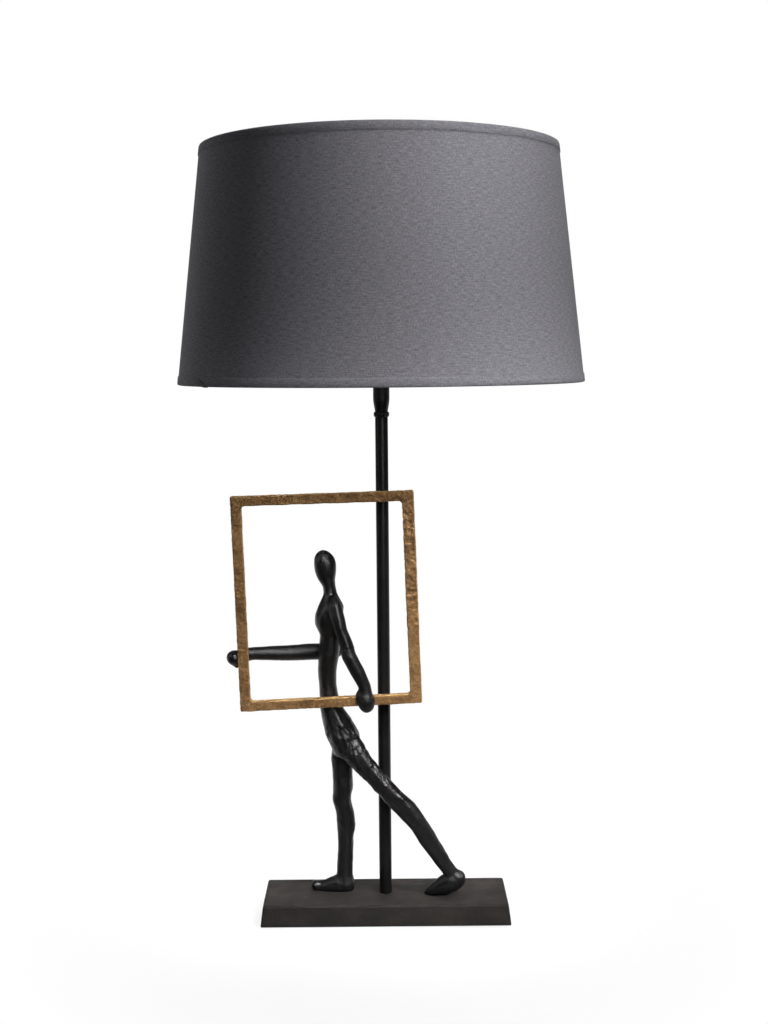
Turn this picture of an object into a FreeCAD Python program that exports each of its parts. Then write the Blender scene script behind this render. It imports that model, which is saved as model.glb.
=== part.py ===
"""Table lamp: a slim cast figure walks along a narrow base plate and carries an empty picture frame.

Behind the figure a straight steel tube rises from the middle of the base to a lampholder with a bulb.
The lampholder carries a tapered drum shade covered in linen. Lengths are in millimetres. The origin is on
the table under the tube's axis, +Z is up, -Y is the side that the lamp is seen from, and the figure walks
towards -X.
"""

import FreeCAD, Part
import math
import os

V = FreeCAD.Vector
X_AXIS = V(1, 0, 0)
Y_AXIS = V(0, 1, 0)
Z_AXIS = V(0, 0, 1)
FULL_TURN = 360.0
OVERRUN = 3.0
HEXAGON_SIDES = 6

# base plate: a cast iron slab with drafted sides, felt underneath
BASE_LENGTH = 252.0
BASE_DEPTH = 82.0
BASE_THICKNESS = 21.0
BASE_DRAFT = 2.6
BASE_EDGE_RADIUS = 0.8
FELT_THICKNESS = 1.0
FELT_INSET = 4.0

# tube: plain shaft with a thinner threaded end below and above
POLE_DIAMETER = 12.7
POLE_HEIGHT = 487.0
POLE_BORE = 7.0
THREAD_DIAMETER = 10.0
THREAD_CLEARANCE = 0.1
NUT_ACROSS_FLATS = 17.0
NUT_THICKNESS = 6.0
NUT_RECESS_DIAMETER = 26.0
NUT_RECESS_DEPTH = 9.0
THREAD_TAIL = 1.0

# cord inlet at the back of the base: a bush that slides up into a slot in the plate's back wall
BUSH_BORE = 6.6
BUSH_WIDTH = 12.0
BUSH_HEIGHT = 11.5
BUSH_LENGTH = 8.0
BUSH_PROUD = 1.0
CORD_SLOT_WIDTH = 8.0
CORD_AXIS_HEIGHT = 6.2

# beaded lock ring and tapered neck between the tube and the lampholder
LOCK_RING_HEIGHT = 5.6
LOCK_RING_DIAMETER = 15.7
LOCK_RING_GROOVE = 0.9
LOCK_BEAD_COUNT = 12
LOCK_BEAD_CREST_SHARES = (0.3, 0.7)
NECK_DIAMETER = 16.2
NECK_HEIGHT = 45.0
NECK_TAPER_HEIGHT = 9.5
NECK_FOOT_DIAMETER = 13.0
NECK_SIDES = 36
NECK_BULGE_SHARES = ((0.0, 0.0), (0.25, 0.40), (0.55, 0.78), (1.0, 1.0))

# lampholder for a screw bulb
HOLDER_CAP_HEIGHT = 22.0
HOLDER_CAP_BOSS_DIAMETER = 22.0
HOLDER_CAP_BOSS_HEIGHT = 8.0
HOLDER_CAP_FLOOR = 8.0
HOLDER_DIAMETER = 39.6
HOLDER_SKIRT_HEIGHT = 36.0
HOLDER_BORE = 28.4
BLOCK_ACROSS_CORNERS = 27.0
BLOCK_HEIGHT = 6.0
CONTACT_THICKNESS = 0.5
CONTACT_WIDTH = 5.0
CONTACT_RISE = 2.2
CONTACT_FOOT_LENGTH = 4.0
CONTACT_REACH = 9.0
SIDE_CONTACT_HEIGHT = 14.0
SIDE_CONTACT_WIDTH = 4.0
SIDE_CONTACT_GAP = 0.3

# screw rings that clamp the shade carrier on the lampholder
CLAMP_RING_DIAMETER = 54.0
CLAMP_RING_HEIGHT = 7.0
CLAMP_RING_SIDES = 16
CLAMP_RING_RUNNING_GAP = 0.3
CLAMP_RING_HEIGHT_ON_SKIRT = 4.0

# shade
SHADE_BOTTOM_DIAMETER = 400.0
SHADE_TOP_DIAMETER = 348.4
SHADE_HEIGHT = 227.6
SHADE_DROP = 50.0
SHADE_SIDES = 72
HEM_HEIGHT = 8.5
TAPE_THICKNESS = 0.7
SKIN_THICKNESS = 1.2
RIM_WIRE_DIAMETER = 3.6
CARRIER_RING_DIAMETER = 68.0
CARRIER_RING_THICKNESS = 1.6
CARRIER_RUNNING_GAP = 0.4
CARRIER_SPOKE_WIDTH = 5.0
CARRIER_SPOKE_THICKNESS = 1.6
CARRIER_SPOKE_COUNT = 3

# bulb
BULB_DIAMETER = 60.0
BULB_LENGTH = 110.0
BULB_CAP_DIAMETER = 26.4
BULB_CAP_HEIGHT = 22.0
BULB_TIP_DIAMETER = 9.0
BULB_TIP_HEIGHT = 3.0
BULB_SEAT_GAP = 0.3
BULB_SIDES = 36
BULB_WALL = 1.2
BULB_GLASS_SHARES = [
    (0.44, 0.0),
    (0.46, 0.08),
    (0.66, 0.24),
    (0.90, 0.42),
    (1.00, 0.62),
    (0.94, 0.78),
    (0.74, 0.91),
    (0.42, 0.98),
    (0.08, 1.0),
]

# carried picture frame, cast by hand and not quite square
FRAME_WIDTH = 181.7
FRAME_HEIGHT = 216.1
FRAME_LEFT_BAR = 10.4
FRAME_RIGHT_BAR = 11.4
FRAME_TOP_BAR = 10.0
FRAME_BOTTOM_BAR = 9.7
FRAME_BAR_DEPTH = 8.0
FRAME_INNER_CORNER_RADIUS = 3.5
FRAME_OUTER_CORNER_RADIUS = 1.0
FRAME_LEAN_DEGREES = -2.4
FRAME_CORNER_SHIFT_SHARES = ((0.0, 0.0), (0.0, 0.0), (0.0077, -0.0135), (0.0145, 0.0))
FRAME_TO_WAIST_GAP = 1.7

# walking figure: every place and size in its tables is a share of its height
FIGURE_HEIGHT = 354.5
LEG_TO_POLE_GAP = 0.8
FOOT_SCREW_DIAMETER = 5.0
FOOT_SCREW_GRIP = 8.0
FOOT_SCREW_HEAD_DIAMETER = 8.5
FOOT_SCREW_HEAD_HEIGHT = 4.0
FOOT_SCREW_RECESS_DEPTH = 6.0
FOOT_SCREW_CLEARANCE = 0.3
HAND_BACK_GAP = 1.0
OUTLINE_POINTS = 12

# heights that several pieces share
BASE_TOP = FELT_THICKNESS + BASE_THICKNESS
POLE_TOP = BASE_TOP + POLE_HEIGHT
NECK_BOTTOM = POLE_TOP + LOCK_RING_HEIGHT
NECK_TOP = NECK_BOTTOM + NECK_HEIGHT
HOLDER_CAP_TOP = NECK_TOP + HOLDER_CAP_HEIGHT
HOLDER_TOP = HOLDER_CAP_TOP + HOLDER_SKIRT_HEIGHT
BLOCK_TOP = HOLDER_CAP_TOP + BLOCK_HEIGHT
BULB_BOTTOM = BLOCK_TOP + CONTACT_THICKNESS + CONTACT_RISE + BULB_SEAT_GAP
BULB_CAP_TOP = BULB_BOTTOM + BULB_TIP_HEIGHT + BULB_CAP_HEIGHT
CLAMP_RING_BOTTOM = HOLDER_CAP_TOP + CLAMP_RING_HEIGHT_ON_SKIRT
CARRIER_BOTTOM = CLAMP_RING_BOTTOM + CLAMP_RING_HEIGHT + CLAMP_RING_RUNNING_GAP
CARRIER_TOP = CARRIER_BOTTOM + CARRIER_RING_THICKNESS
SHADE_BOTTOM = CARRIER_BOTTOM - SHADE_DROP
SHADE_TOP = SHADE_BOTTOM + SHADE_HEIGHT

# radii that several pieces share
POLE_RADIUS = POLE_DIAMETER / 2
THREAD_RADIUS = THREAD_DIAMETER / 2
TAPPED_RADIUS = THREAD_RADIUS + THREAD_CLEARANCE
HOLDER_RADIUS = HOLDER_DIAMETER / 2

# thicknesses of the shade's wall and rims, and its slope
SHADE_SLOPE = (SHADE_BOTTOM_DIAMETER - SHADE_TOP_DIAMETER) / 2 / SHADE_HEIGHT
SKIN_BACK = TAPE_THICKNESS + SKIN_THICKNESS
HEM_THICKNESS = SKIN_BACK + TAPE_THICKNESS
RIM_THICKNESS = SKIN_BACK + RIM_WIRE_DIAMETER + TAPE_THICKNESS

# trunk from the crotch to the neck: x, height, half width along x; and how deep it is for its width
TRUNK_SHARES = [
    (-0.112, 0.410, 0.033),
    (-0.109, 0.436, 0.043),
    (-0.120, 0.470, 0.048),
    (-0.132, 0.505, 0.042),
    (-0.148, 0.541, 0.033),
    (-0.156, 0.577, 0.026),
    (-0.160, 0.615, 0.024),
    (-0.161, 0.657, 0.026),
    (-0.156, 0.700, 0.029),
    (-0.150, 0.759, 0.029),
    (-0.156, 0.791, 0.038),
    (-0.154, 0.814, 0.039),
    (-0.148, 0.840, 0.036),
    (-0.148, 0.859, 0.026),
    (-0.149, 0.876, 0.018),
    (-0.152, 0.896, 0.017),
    (-0.156, 0.915, 0.019),
]
TRUNK_DEPTH_SHARE = 1.16
WAIST_HALF_DEPTH_SHARE = 0.032

# plain egg of a head, no features
HEAD_SHARES = [
    (-0.158, 0.900, 0.014),
    (-0.160, 0.918, 0.024),
    (-0.162, 0.940, 0.030),
    (-0.163, 0.960, 0.031),
    (-0.165, 0.978, 0.028),
    (-0.167, 0.992, 0.019),
    (-0.168, 1.000, 0.006),
]
HEAD_DEPTH_SHARE = 0.88

# leg that stands in front, on the far side: x, y, height, half width
FAR_LEG_SHARES = [
    (-0.115, 0.016, 0.452, 0.030),
    (-0.123, 0.022, 0.400, 0.030),
    (-0.121, 0.024, 0.355, 0.028),
    (-0.121, 0.024, 0.310, 0.028),
    (-0.125, 0.024, 0.272, 0.026),
    (-0.116, 0.024, 0.232, 0.025),
    (-0.112, 0.024, 0.195, 0.026),
    (-0.114, 0.023, 0.160, 0.022),
    (-0.115, 0.023, 0.120, 0.021),
    (-0.118, 0.023, 0.080, 0.022),
    (-0.119, 0.023, 0.040, 0.023),
    (-0.118, 0.023, 0.012, 0.023),
]
FAR_LEG_DEPTH_SHARE = 0.88

# leg that trails behind, on the near side: x, height, half width, share of the step out past the tube
NEAR_LEG_SHARES = [
    (-0.126, 0.500, 0.032, 0.30),
    (-0.106, 0.446, 0.040, 0.46),
    (-0.069, 0.400, 0.031, 0.76),
    (-0.025, 0.351, 0.026, 0.96),
    (0.018, 0.303, 0.027, 1.00),
    (0.059, 0.260, 0.029, 0.98),
    (0.094, 0.216, 0.026, 0.90),
    (0.121, 0.170, 0.026, 0.76),
    (0.147, 0.127, 0.023, 0.62),
    (0.169, 0.091, 0.021, 0.54),
    (0.189, 0.062, 0.020, 0.48),
    (0.202, 0.045, 0.015, 0.46),
]
NEAR_LEG_DEPTH_SHARE = 0.80
NEAR_LEG_ALONG_SHARES = (0.617, 0.0, -0.787)
THIGH_HALF_DEPTH_SHARE = 0.025

# foot flat on the plate: x, height of the middle, half height
FAR_FOOT_SHARES = [
    (-0.092, 0.016, 0.014),
    (-0.097, 0.017, 0.026),
    (-0.112, 0.018, 0.033),
    (-0.138, 0.012, 0.033),
    (-0.168, 0.006, 0.027),
    (-0.192, 0.003, 0.018),
    (-0.206, 0.002, 0.010),
    (-0.211, 0.002, 0.004),
]
FAR_FOOT_Y_SHARE = 0.023

# foot rolled up onto its ball
NEAR_FOOT_SHARES = [
    (0.110, 0.003, 0.005),
    (0.116, 0.005, 0.012),
    (0.138, 0.014, 0.022),
    (0.162, 0.025, 0.029),
    (0.188, 0.036, 0.032),
    (0.208, 0.042, 0.029),
    (0.221, 0.045, 0.021),
    (0.229, 0.046, 0.010),
]
NEAR_FOOT_Y_SHARE = -0.020
FOOT_DEPTH_SHARE = 0.80
FAR_SCREW_X_SHARE = -0.140
NEAR_SCREW_X_SHARE = 0.152

# upper arms, shoulder to elbow: x, y, height, half width
NEAR_UPPER_ARM_SHARES = [
    (-0.142, -0.026, 0.872, 0.008),
    (-0.137, -0.036, 0.852, 0.018),
    (-0.128, -0.048, 0.815, 0.019),
    (-0.117, -0.056, 0.775, 0.017),
    (-0.103, -0.060, 0.737, 0.019),
    (-0.098, -0.062, 0.710, 0.020),
]
NEAR_ARM_ALONG_SHARES = (0.31, -0.10, -0.94)
FAR_UPPER_ARM_SHARES = [
    (-0.148, 0.030, 0.870, 0.010),
    (-0.146, 0.044, 0.850, 0.018),
    (-0.143, 0.056, 0.800, 0.020),
    (-0.142, 0.060, 0.750, 0.019),
    (-0.142, 0.060, 0.705, 0.022),
    (-0.142, 0.058, 0.680, 0.012),
]
ARM_DEPTH_SHARE = 0.90

# bent elbow on the far side, up to the brazed joint
FAR_ELBOW_SHARES = [
    (-0.120, 0.066, 0.700, 0.012),
    (-0.132, 0.062, 0.700, 0.021),
    (-0.172, 0.048, 0.700, 0.023),
    (-0.218, 0.031, 0.702, 0.023),
    (-0.262, 0.014, 0.703, 0.022),
]
FAR_ARM_ALONG_SHARES = (-0.95, -0.31, 0.0)

# forearms: how far from the arm's end to the palm, sideways bow, half width
NEAR_FOREARM_SHARES = [
    (0.35, 0.007, 0.020),
    (0.66, 0.012, 0.017),
    (0.90, 0.006, 0.018),
]
FAR_FOREARM_SHARES = [
    (0.34, 0.004, 0.020),
    (0.66, 0.008, 0.018),
    (0.92, 0.006, 0.019),
]

# where the frame's lower left corner lies, and where the hands hold the bars: distance along each bar
FRAME_CORNER_SHARES = (-0.4045, 0.5500)
NEAR_GRIP_SHARE = 0.355
FAR_GRIP_SHARE = 0.150

# hands: half sizes along x, y and z, and thumbs: place beside the palm and half sizes
NEAR_HAND_HALF_SHARES = (0.025, 0.022, 0.033)
NEAR_THUMB_SHARES = (-0.018, 0.012, 0.012, 0.014, 0.020)
NEAR_HAND_TILT_DEGREES = -10.0
FAR_HAND_HALF_SHARES = (0.024, 0.023, 0.021)
FAR_THUMB_SHARES = (0.006, -0.018, 0.009, 0.012, 0.012)
FAR_HAND_OUT_SHARE = 0.009
FAR_HAND_TILT_DEGREES = 15.0
EGG_SHARES = (-0.98, -0.82, -0.46, 0.0, 0.46, 0.82, 0.98)


def turned(points):
    """Solid of revolution about the lamp's axis from an outline of radius and height pairs."""
    corners = [V(radius, 0, height) for radius, height in points]
    outline = Part.makePolygon(corners + corners[:1])
    return Part.Face(outline).revolve(V(0, 0, 0), Z_AXIS, FULL_TURN)


def ring(inner, outer, low, high):
    """Plain turned ring."""
    return turned([(inner, low), (outer, low), (outer, high), (inner, high)])


def cylinder(radius, low, high, x=0.0, y=0.0):
    """Upright cylinder between two heights."""
    return Part.makeCylinder(radius, high - low, V(x, y, low))


def block(x_range, y_range, z_range):
    """Box between pairs of coordinates."""
    size = [high - low for low, high in (x_range, y_range, z_range)]
    return Part.makeBox(*size, V(x_range[0], y_range[0], z_range[0]))


def rectangle(length, depth, height):
    """Flat rectangular outline centred on the axis."""
    x, y = length / 2, depth / 2
    corners = [V(-x, -y, height), V(x, -y, height), V(x, y, height), V(-x, y, height)]
    return Part.makePolygon(corners + corners[:1])


def polygon_points(sides, radius, height):
    """Corners of a regular polygon about the lamp's axis."""
    points = []
    for k in range(sides):
        angle = 2 * math.pi * k / sides
        points.append(V(radius * math.cos(angle), radius * math.sin(angle), height))
    return points


def flat_sided(outlines):
    """Solid through outlines that differ only in place and size, so that every side is flat."""
    sides = len(outlines[0])
    faces = [Part.Face(Part.makePolygon(ends + ends[:1])) for ends in (outlines[0], outlines[-1])]
    for lower, upper in zip(outlines, outlines[1:]):
        for k in range(sides):
            following = (k + 1) % sides
            corners = [lower[k], lower[following], upper[following], upper[k]]
            faces.append(Part.Face(Part.makePolygon(corners + corners[:1])))
    solid = Part.makeSolid(Part.makeShell(faces))
    if solid.Volume < 0:
        solid.reverse()
    return solid


def prism(sides, corner_radius, low, high):
    """Upright prism about the lamp's axis with equal sides."""
    return flat_sided([polygon_points(sides, corner_radius, height) for height in (low, high)])


def body_point(x_share, y_share, height_share):
    """Place on the figure, from shares of its height."""
    return V(x_share, y_share, height_share) * FIGURE_HEIGHT + V(0, 0, BASE_TOP)


def outline(centre, along, half_width, half_depth):
    """Many-sided oval outline square to a direction."""
    along = V(along).normalize()
    across = Y_AXIS.cross(along).normalize()
    deep = along.cross(across)
    points = []
    for k in range(OUTLINE_POINTS):
        angle = 2 * math.pi * k / OUTLINE_POINTS
        sideways = across * (half_width * math.cos(angle))
        points.append(centre + sideways + deep * (half_depth * math.sin(angle)))
    return points


def limb(stations, along, depth_share):
    """Cast form through stations of centre and half width, all its sections square to one direction."""
    return flat_sided([outline(centre, along, half, half * depth_share) for centre, half in stations])


def egg(centre, half_sizes, tilt_degrees=0.0):
    """Rounded lump with its own half size along x, y and z, tilted in the frame's plane."""
    half_x, half_y, half_z = half_sizes
    stations = []
    for share in EGG_SHARES:
        stations.append((V(0, 0, half_z * share), half_x * math.sqrt(1 - share ** 2)))
    lump = limb(stations, Z_AXIS, half_y / half_x)
    lump.rotate(V(0, 0, 0), Y_AXIS, tilt_degrees)
    lump.translate(centre)
    return lump


def sized(half_share):
    """Length on the figure from a share of its height."""
    return half_share * FIGURE_HEIGHT


def fused(pieces):
    """One solid from several that run into each other."""
    return pieces[0].multiFuse(pieces[1:])


# where the carried frame lies
FRAME_Y = -(sized(WAIST_HALF_DEPTH_SHARE) + FRAME_TO_WAIST_GAP + FRAME_BAR_DEPTH / 2)
FRAME_CORNER = body_point(FRAME_CORNER_SHARES[0], 0, FRAME_CORNER_SHARES[1]) + V(0, FRAME_Y, 0)
FRAME_TURN = FreeCAD.Rotation(Y_AXIS, FRAME_LEAN_DEGREES)
ALONG_BOTTOM_BAR = FRAME_TURN.multVec(X_AXIS)
ALONG_LEFT_BAR = FRAME_TURN.multVec(Z_AXIS)


def base_plate():
    """Slab with drafted sides and an eased rim, hollowed underneath for the nut, the screws and the cord."""
    eased = 2 * (BASE_DRAFT + BASE_EDGE_RADIUS)
    sides_top = BASE_TOP - BASE_EDGE_RADIUS
    low = rectangle(BASE_LENGTH, BASE_DEPTH, FELT_THICKNESS)
    shoulder = rectangle(BASE_LENGTH - 2 * BASE_DRAFT, BASE_DEPTH - 2 * BASE_DRAFT, sides_top)
    high = rectangle(BASE_LENGTH - eased, BASE_DEPTH - eased, BASE_TOP)
    plate = Part.makeLoft([low, shoulder, high], True, True)
    below = FELT_THICKNESS - OVERRUN
    cuts = [cylinder(TAPPED_RADIUS, below, BASE_TOP + OVERRUN)]
    cuts.append(cylinder(NUT_RECESS_DIAMETER / 2, below, FELT_THICKNESS + NUT_RECESS_DEPTH))
    half = CORD_SLOT_WIDTH / 2
    cuts.append(block((-half, half), (0, BASE_DEPTH), (below, FELT_THICKNESS + CORD_AXIS_HEIGHT + half)))
    cuts.append(bush_block(-OVERRUN))
    for x, y in foot_screw_places():
        shank = FOOT_SCREW_DIAMETER / 2 + FOOT_SCREW_CLEARANCE
        head = FOOT_SCREW_HEAD_DIAMETER / 2 + FOOT_SCREW_CLEARANCE
        cuts.append(cylinder(shank, below, BASE_TOP + OVERRUN, x, y))
        cuts.append(cylinder(head, below, FELT_THICKNESS + FOOT_SCREW_RECESS_DEPTH, x, y))
    return plate.cut(cuts)


def bush_block(start):
    """Outside of the cord bush, begun below the plate when it serves as a cutter."""
    half = BUSH_WIDTH / 2
    outer = BASE_DEPTH / 2 + BUSH_PROUD
    heights = (FELT_THICKNESS + start, FELT_THICKNESS + BUSH_HEIGHT)
    return block((-half, half), (outer - BUSH_LENGTH, outer), heights)


def base_felt():
    """Felt glued under the whole plate."""
    edge = rectangle(BASE_LENGTH - 2 * FELT_INSET, BASE_DEPTH - 2 * FELT_INSET, 0.0)
    return Part.Face(edge).extrude(V(0, 0, FELT_THICKNESS))


def cord_bush():
    """Bush that keeps the cord off the iron where it enters the base."""
    start = V(0, 0, FELT_THICKNESS + CORD_AXIS_HEIGHT)
    return bush_block(0.0).cut(Part.makeCylinder(BUSH_BORE / 2, BASE_DEPTH, start, Y_AXIS))


def foot_screw_places():
    """Middle of each foot, where a screw comes up through the plate."""
    far = body_point(FAR_SCREW_X_SHARE, FAR_FOOT_Y_SHARE, 0)
    near = body_point(NEAR_SCREW_X_SHARE, NEAR_FOOT_Y_SHARE, 0)
    return [(far.x, far.y), (near.x, near.y)]


def foot_screws():
    """Two hexagon screws from below, one into each foot."""
    screws = []
    head_top = FELT_THICKNESS + FOOT_SCREW_RECESS_DEPTH
    head_bottom = head_top - FOOT_SCREW_HEAD_HEIGHT
    for x, y in foot_screw_places():
        shank = cylinder(FOOT_SCREW_DIAMETER / 2, head_bottom, BASE_TOP + FOOT_SCREW_GRIP, x, y)
        head = prism(HEXAGON_SIDES, FOOT_SCREW_HEAD_DIAMETER / 2, head_bottom, head_top)
        head.translate(V(x, y, 0))
        screws.append(shank.fuse(head))
    return Part.makeCompound(screws)


def base_nut():
    """Nut that pulls the tube down on the plate."""
    top = FELT_THICKNESS + NUT_RECESS_DEPTH
    nut = prism(HEXAGON_SIDES, NUT_ACROSS_FLATS / math.sqrt(3), top - NUT_THICKNESS, top)
    return nut.cut(cylinder(TAPPED_RADIUS, top - NUT_THICKNESS - OVERRUN, top + OVERRUN))


def pole():
    """Straight steel tube whose thinner threaded ends reach into the plate and the lampholder."""
    bore = POLE_BORE / 2
    bottom = FELT_THICKNESS + THREAD_TAIL
    top = NECK_TOP + HOLDER_CAP_FLOOR
    return turned([
        (bore, bottom),
        (THREAD_RADIUS, bottom),
        (THREAD_RADIUS, BASE_TOP),
        (POLE_RADIUS, BASE_TOP),
        (POLE_RADIUS, POLE_TOP),
        (THREAD_RADIUS, POLE_TOP),
        (THREAD_RADIUS, top),
        (bore, top),
    ])


def lock_ring():
    """Ring with a row of upright beads round it, that locks the neck on the tube's thread."""
    crest = LOCK_RING_DIAMETER / 2
    groove = crest - LOCK_RING_GROOVE
    points = []
    for k in range(LOCK_BEAD_COUNT):
        start = 2 * math.pi * k / LOCK_BEAD_COUNT
        for share in (0, *LOCK_BEAD_CREST_SHARES):
            radius = crest if share else groove
            angle = start + 2 * math.pi * share / LOCK_BEAD_COUNT
            points.append(V(radius * math.cos(angle), radius * math.sin(angle), POLE_TOP))
    ring_body = Part.Face(Part.makePolygon(points + points[:1])).extrude(V(0, 0, LOCK_RING_HEIGHT))
    return ring_body.cut(cylinder(TAPPED_RADIUS, POLE_TOP - OVERRUN, NECK_BOTTOM + OVERRUN))


def neck():
    """Turned neck, rounded in towards its foot."""
    foot, outer = NECK_FOOT_DIAMETER / 2, NECK_DIAMETER / 2
    outlines = []
    for up_share, out_share in NECK_BULGE_SHARES:
        radius = foot + (outer - foot) * out_share
        outlines.append(polygon_points(NECK_SIDES, radius, NECK_BOTTOM + NECK_TAPER_HEIGHT * up_share))
    outlines.append(polygon_points(NECK_SIDES, outer, NECK_TOP))
    return flat_sided(outlines).cut(cylinder(TAPPED_RADIUS, NECK_BOTTOM - OVERRUN, NECK_TOP + OVERRUN))


def holder_cap():
    """Lower part of the lampholder: a boss under a plain band, solid but for the tube's thread."""
    boss = HOLDER_CAP_BOSS_DIAMETER / 2
    body = turned([
        (0.0, NECK_TOP),
        (boss, NECK_TOP),
        (boss, NECK_TOP + HOLDER_CAP_BOSS_HEIGHT),
        (HOLDER_RADIUS, NECK_TOP + HOLDER_CAP_BOSS_HEIGHT),
        (HOLDER_RADIUS, HOLDER_CAP_TOP),
        (0.0, HOLDER_CAP_TOP),
    ])
    return body.cut(cylinder(TAPPED_RADIUS, NECK_TOP - OVERRUN, NECK_TOP + HOLDER_CAP_FLOOR))


def holder_skirt():
    """Upper half of the lampholder, threaded outside for the clamp rings."""
    return ring(HOLDER_BORE / 2, HOLDER_RADIUS, HOLDER_CAP_TOP, HOLDER_TOP)


def contact_block():
    """Six-sided ceramic block that carries the contacts."""
    return prism(HEXAGON_SIDES, BLOCK_ACROSS_CORNERS / 2, HOLDER_CAP_TOP, BLOCK_TOP)


def centre_contact():
    """Springy tongue that rises from the block to the bulb's tip."""
    far = CONTACT_REACH
    bend = far - CONTACT_FOOT_LENGTH
    tip = -CONTACT_WIDTH / 2
    low, rise = BLOCK_TOP, CONTACT_RISE
    thick = CONTACT_THICKNESS
    points = [
        (far, low),
        (bend, low),
        (CONTACT_WIDTH / 2, low + rise),
        (tip, low + rise),
        (tip, low + rise + thick),
        (CONTACT_WIDTH / 2, low + rise + thick),
        (bend, low + thick),
        (far, low + thick),
    ]
    corners = [V(x, -CONTACT_WIDTH / 2, z) for x, z in points]
    return Part.Face(Part.makePolygon(corners + corners[:1])).extrude(V(0, CONTACT_WIDTH, 0))


def side_contact():
    """Strip that stands up from the block beside the bulb's cap."""
    half = SIDE_CONTACT_WIDTH / 2
    inner = BULB_CAP_DIAMETER / 2 + SIDE_CONTACT_GAP
    top = BLOCK_TOP + SIDE_CONTACT_HEIGHT
    return block((-inner - CONTACT_THICKNESS, -inner), (-half, half), (HOLDER_CAP_TOP, top))


def clamp_ring(low):
    """Screw ring with flat sides to grip."""
    high = low + CLAMP_RING_HEIGHT
    bore = cylinder(HOLDER_RADIUS + CLAMP_RING_RUNNING_GAP, low - OVERRUN, high + OVERRUN)
    return prism(CLAMP_RING_SIDES, CLAMP_RING_DIAMETER / 2, low, high).cut(bore)


def lower_clamp_ring():
    """Ring under the shade carrier."""
    return clamp_ring(CLAMP_RING_BOTTOM)


def upper_clamp_ring():
    """Ring screwed down on the shade carrier."""
    return clamp_ring(CARRIER_TOP + CLAMP_RING_RUNNING_GAP)


def shade_radius(height):
    """Radius over the hems at a height above the table."""
    return SHADE_BOTTOM_DIAMETER / 2 - SHADE_SLOPE * (height - SHADE_BOTTOM)


def shade_band(low, high, face_low, face_high, back_low, back_high):
    """Tapered band between two heights, its faces some depth inside the shade's outside."""
    outer = []
    inner = []
    for height, face, back in ((low, face_low, back_low), (high, face_high, back_high)):
        outer.append(polygon_points(SHADE_SIDES, shade_radius(height) - face, height))
        inner.append(polygon_points(SHADE_SIDES, shade_radius(height) - back, height))
    return flat_sided(outer).cut(flat_sided(inner))


def shade_skin():
    """Linen laminated on a stiff white liner, one tapered wall from hem to hem."""
    low = SHADE_BOTTOM + HEM_HEIGHT
    high = SHADE_TOP - HEM_HEIGHT
    return shade_band(low, high, TAPE_THICKNESS, TAPE_THICKNESS, SKIN_BACK, SKIN_BACK)


def bottom_rim():
    """Bottom hem: wire hoop and wall edge wrapped in tape."""
    low = SHADE_BOTTOM
    return shade_band(low, low + HEM_HEIGHT, 0, 0, RIM_THICKNESS, HEM_THICKNESS)


def top_rim():
    """Top hem, wrapped the same way."""
    return shade_band(SHADE_TOP - HEM_HEIGHT, SHADE_TOP, 0, 0, HEM_THICKNESS, RIM_THICKNESS)


def shade_carrier():
    """Ring that seats on the lampholder with three flat spokes down to the bottom hem."""
    seat = ring(HOLDER_RADIUS + CARRIER_RUNNING_GAP, CARRIER_RING_DIAMETER / 2, CARRIER_BOTTOM, CARRIER_TOP)
    hem_height = SHADE_BOTTOM + HEM_HEIGHT / 2
    inner = CLAMP_RING_DIAMETER / 2 + CARRIER_RUNNING_GAP
    outer = shade_radius(hem_height) - HEM_THICKNESS / 2
    half = CARRIER_SPOKE_WIDTH / 2
    profile = [
        V(inner, -half, CARRIER_BOTTOM),
        V(inner, -half, CARRIER_TOP),
        V(outer, -half, hem_height + CARRIER_SPOKE_THICKNESS / 2),
        V(outer, -half, hem_height - CARRIER_SPOKE_THICKNESS / 2),
    ]
    spoke = Part.Face(Part.makePolygon(profile + profile[:1])).extrude(V(0, CARRIER_SPOKE_WIDTH, 0))
    spokes = []
    for k in range(CARRIER_SPOKE_COUNT):
        turned_spoke = spoke.copy()
        turned_spoke.rotate(V(0, 0, 0), Z_AXIS, FULL_TURN / 2 + FULL_TURN * k / CARRIER_SPOKE_COUNT)
        spokes.append(turned_spoke)
    return seat.multiFuse(spokes).cut(bottom_rim())


def bulb_tip():
    """Centre contact of the bulb."""
    return cylinder(BULB_TIP_DIAMETER / 2, BULB_BOTTOM, BULB_BOTTOM + BULB_TIP_HEIGHT)


def bulb_cap():
    """Screw cap of the bulb, its thread left plain."""
    return cylinder(BULB_CAP_DIAMETER / 2, BULB_BOTTOM + BULB_TIP_HEIGHT, BULB_CAP_TOP)


def bulb_glass():
    """Opal glass that swells from the cap to the dome, hollow and open towards the cap."""
    height = BULB_BOTTOM + BULB_LENGTH - BULB_CAP_TOP
    outer = []
    inner = []
    for out_share, up_share in BULB_GLASS_SHARES:
        radius = BULB_DIAMETER / 2 * out_share
        outer.append(polygon_points(BULB_SIDES, radius, BULB_CAP_TOP + height * up_share))
        shrunk = radius * (1 - BULB_WALL / (BULB_DIAMETER / 2))
        inner.append(polygon_points(BULB_SIDES, shrunk, BULB_CAP_TOP + (height - BULB_WALL) * up_share))
    return flat_sided(outer).cut(flat_sided(inner))


def frame_outline(corners, corner_radius):
    """Four-sided prism in the frame's plane with its corners rounded."""
    points = [V(x, 0, z) for x, z in corners]
    solid = Part.Face(Part.makePolygon(points + points[:1])).extrude(V(0, FRAME_BAR_DEPTH, 0))
    along_depth = []
    for edge in solid.Edges:
        start, end = (vertex.Point for vertex in edge.Vertexes)
        if abs(start.y - end.y) > FRAME_BAR_DEPTH / 2:
            along_depth.append(edge)
    return solid.makeFillet(corner_radius, along_depth)


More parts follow.
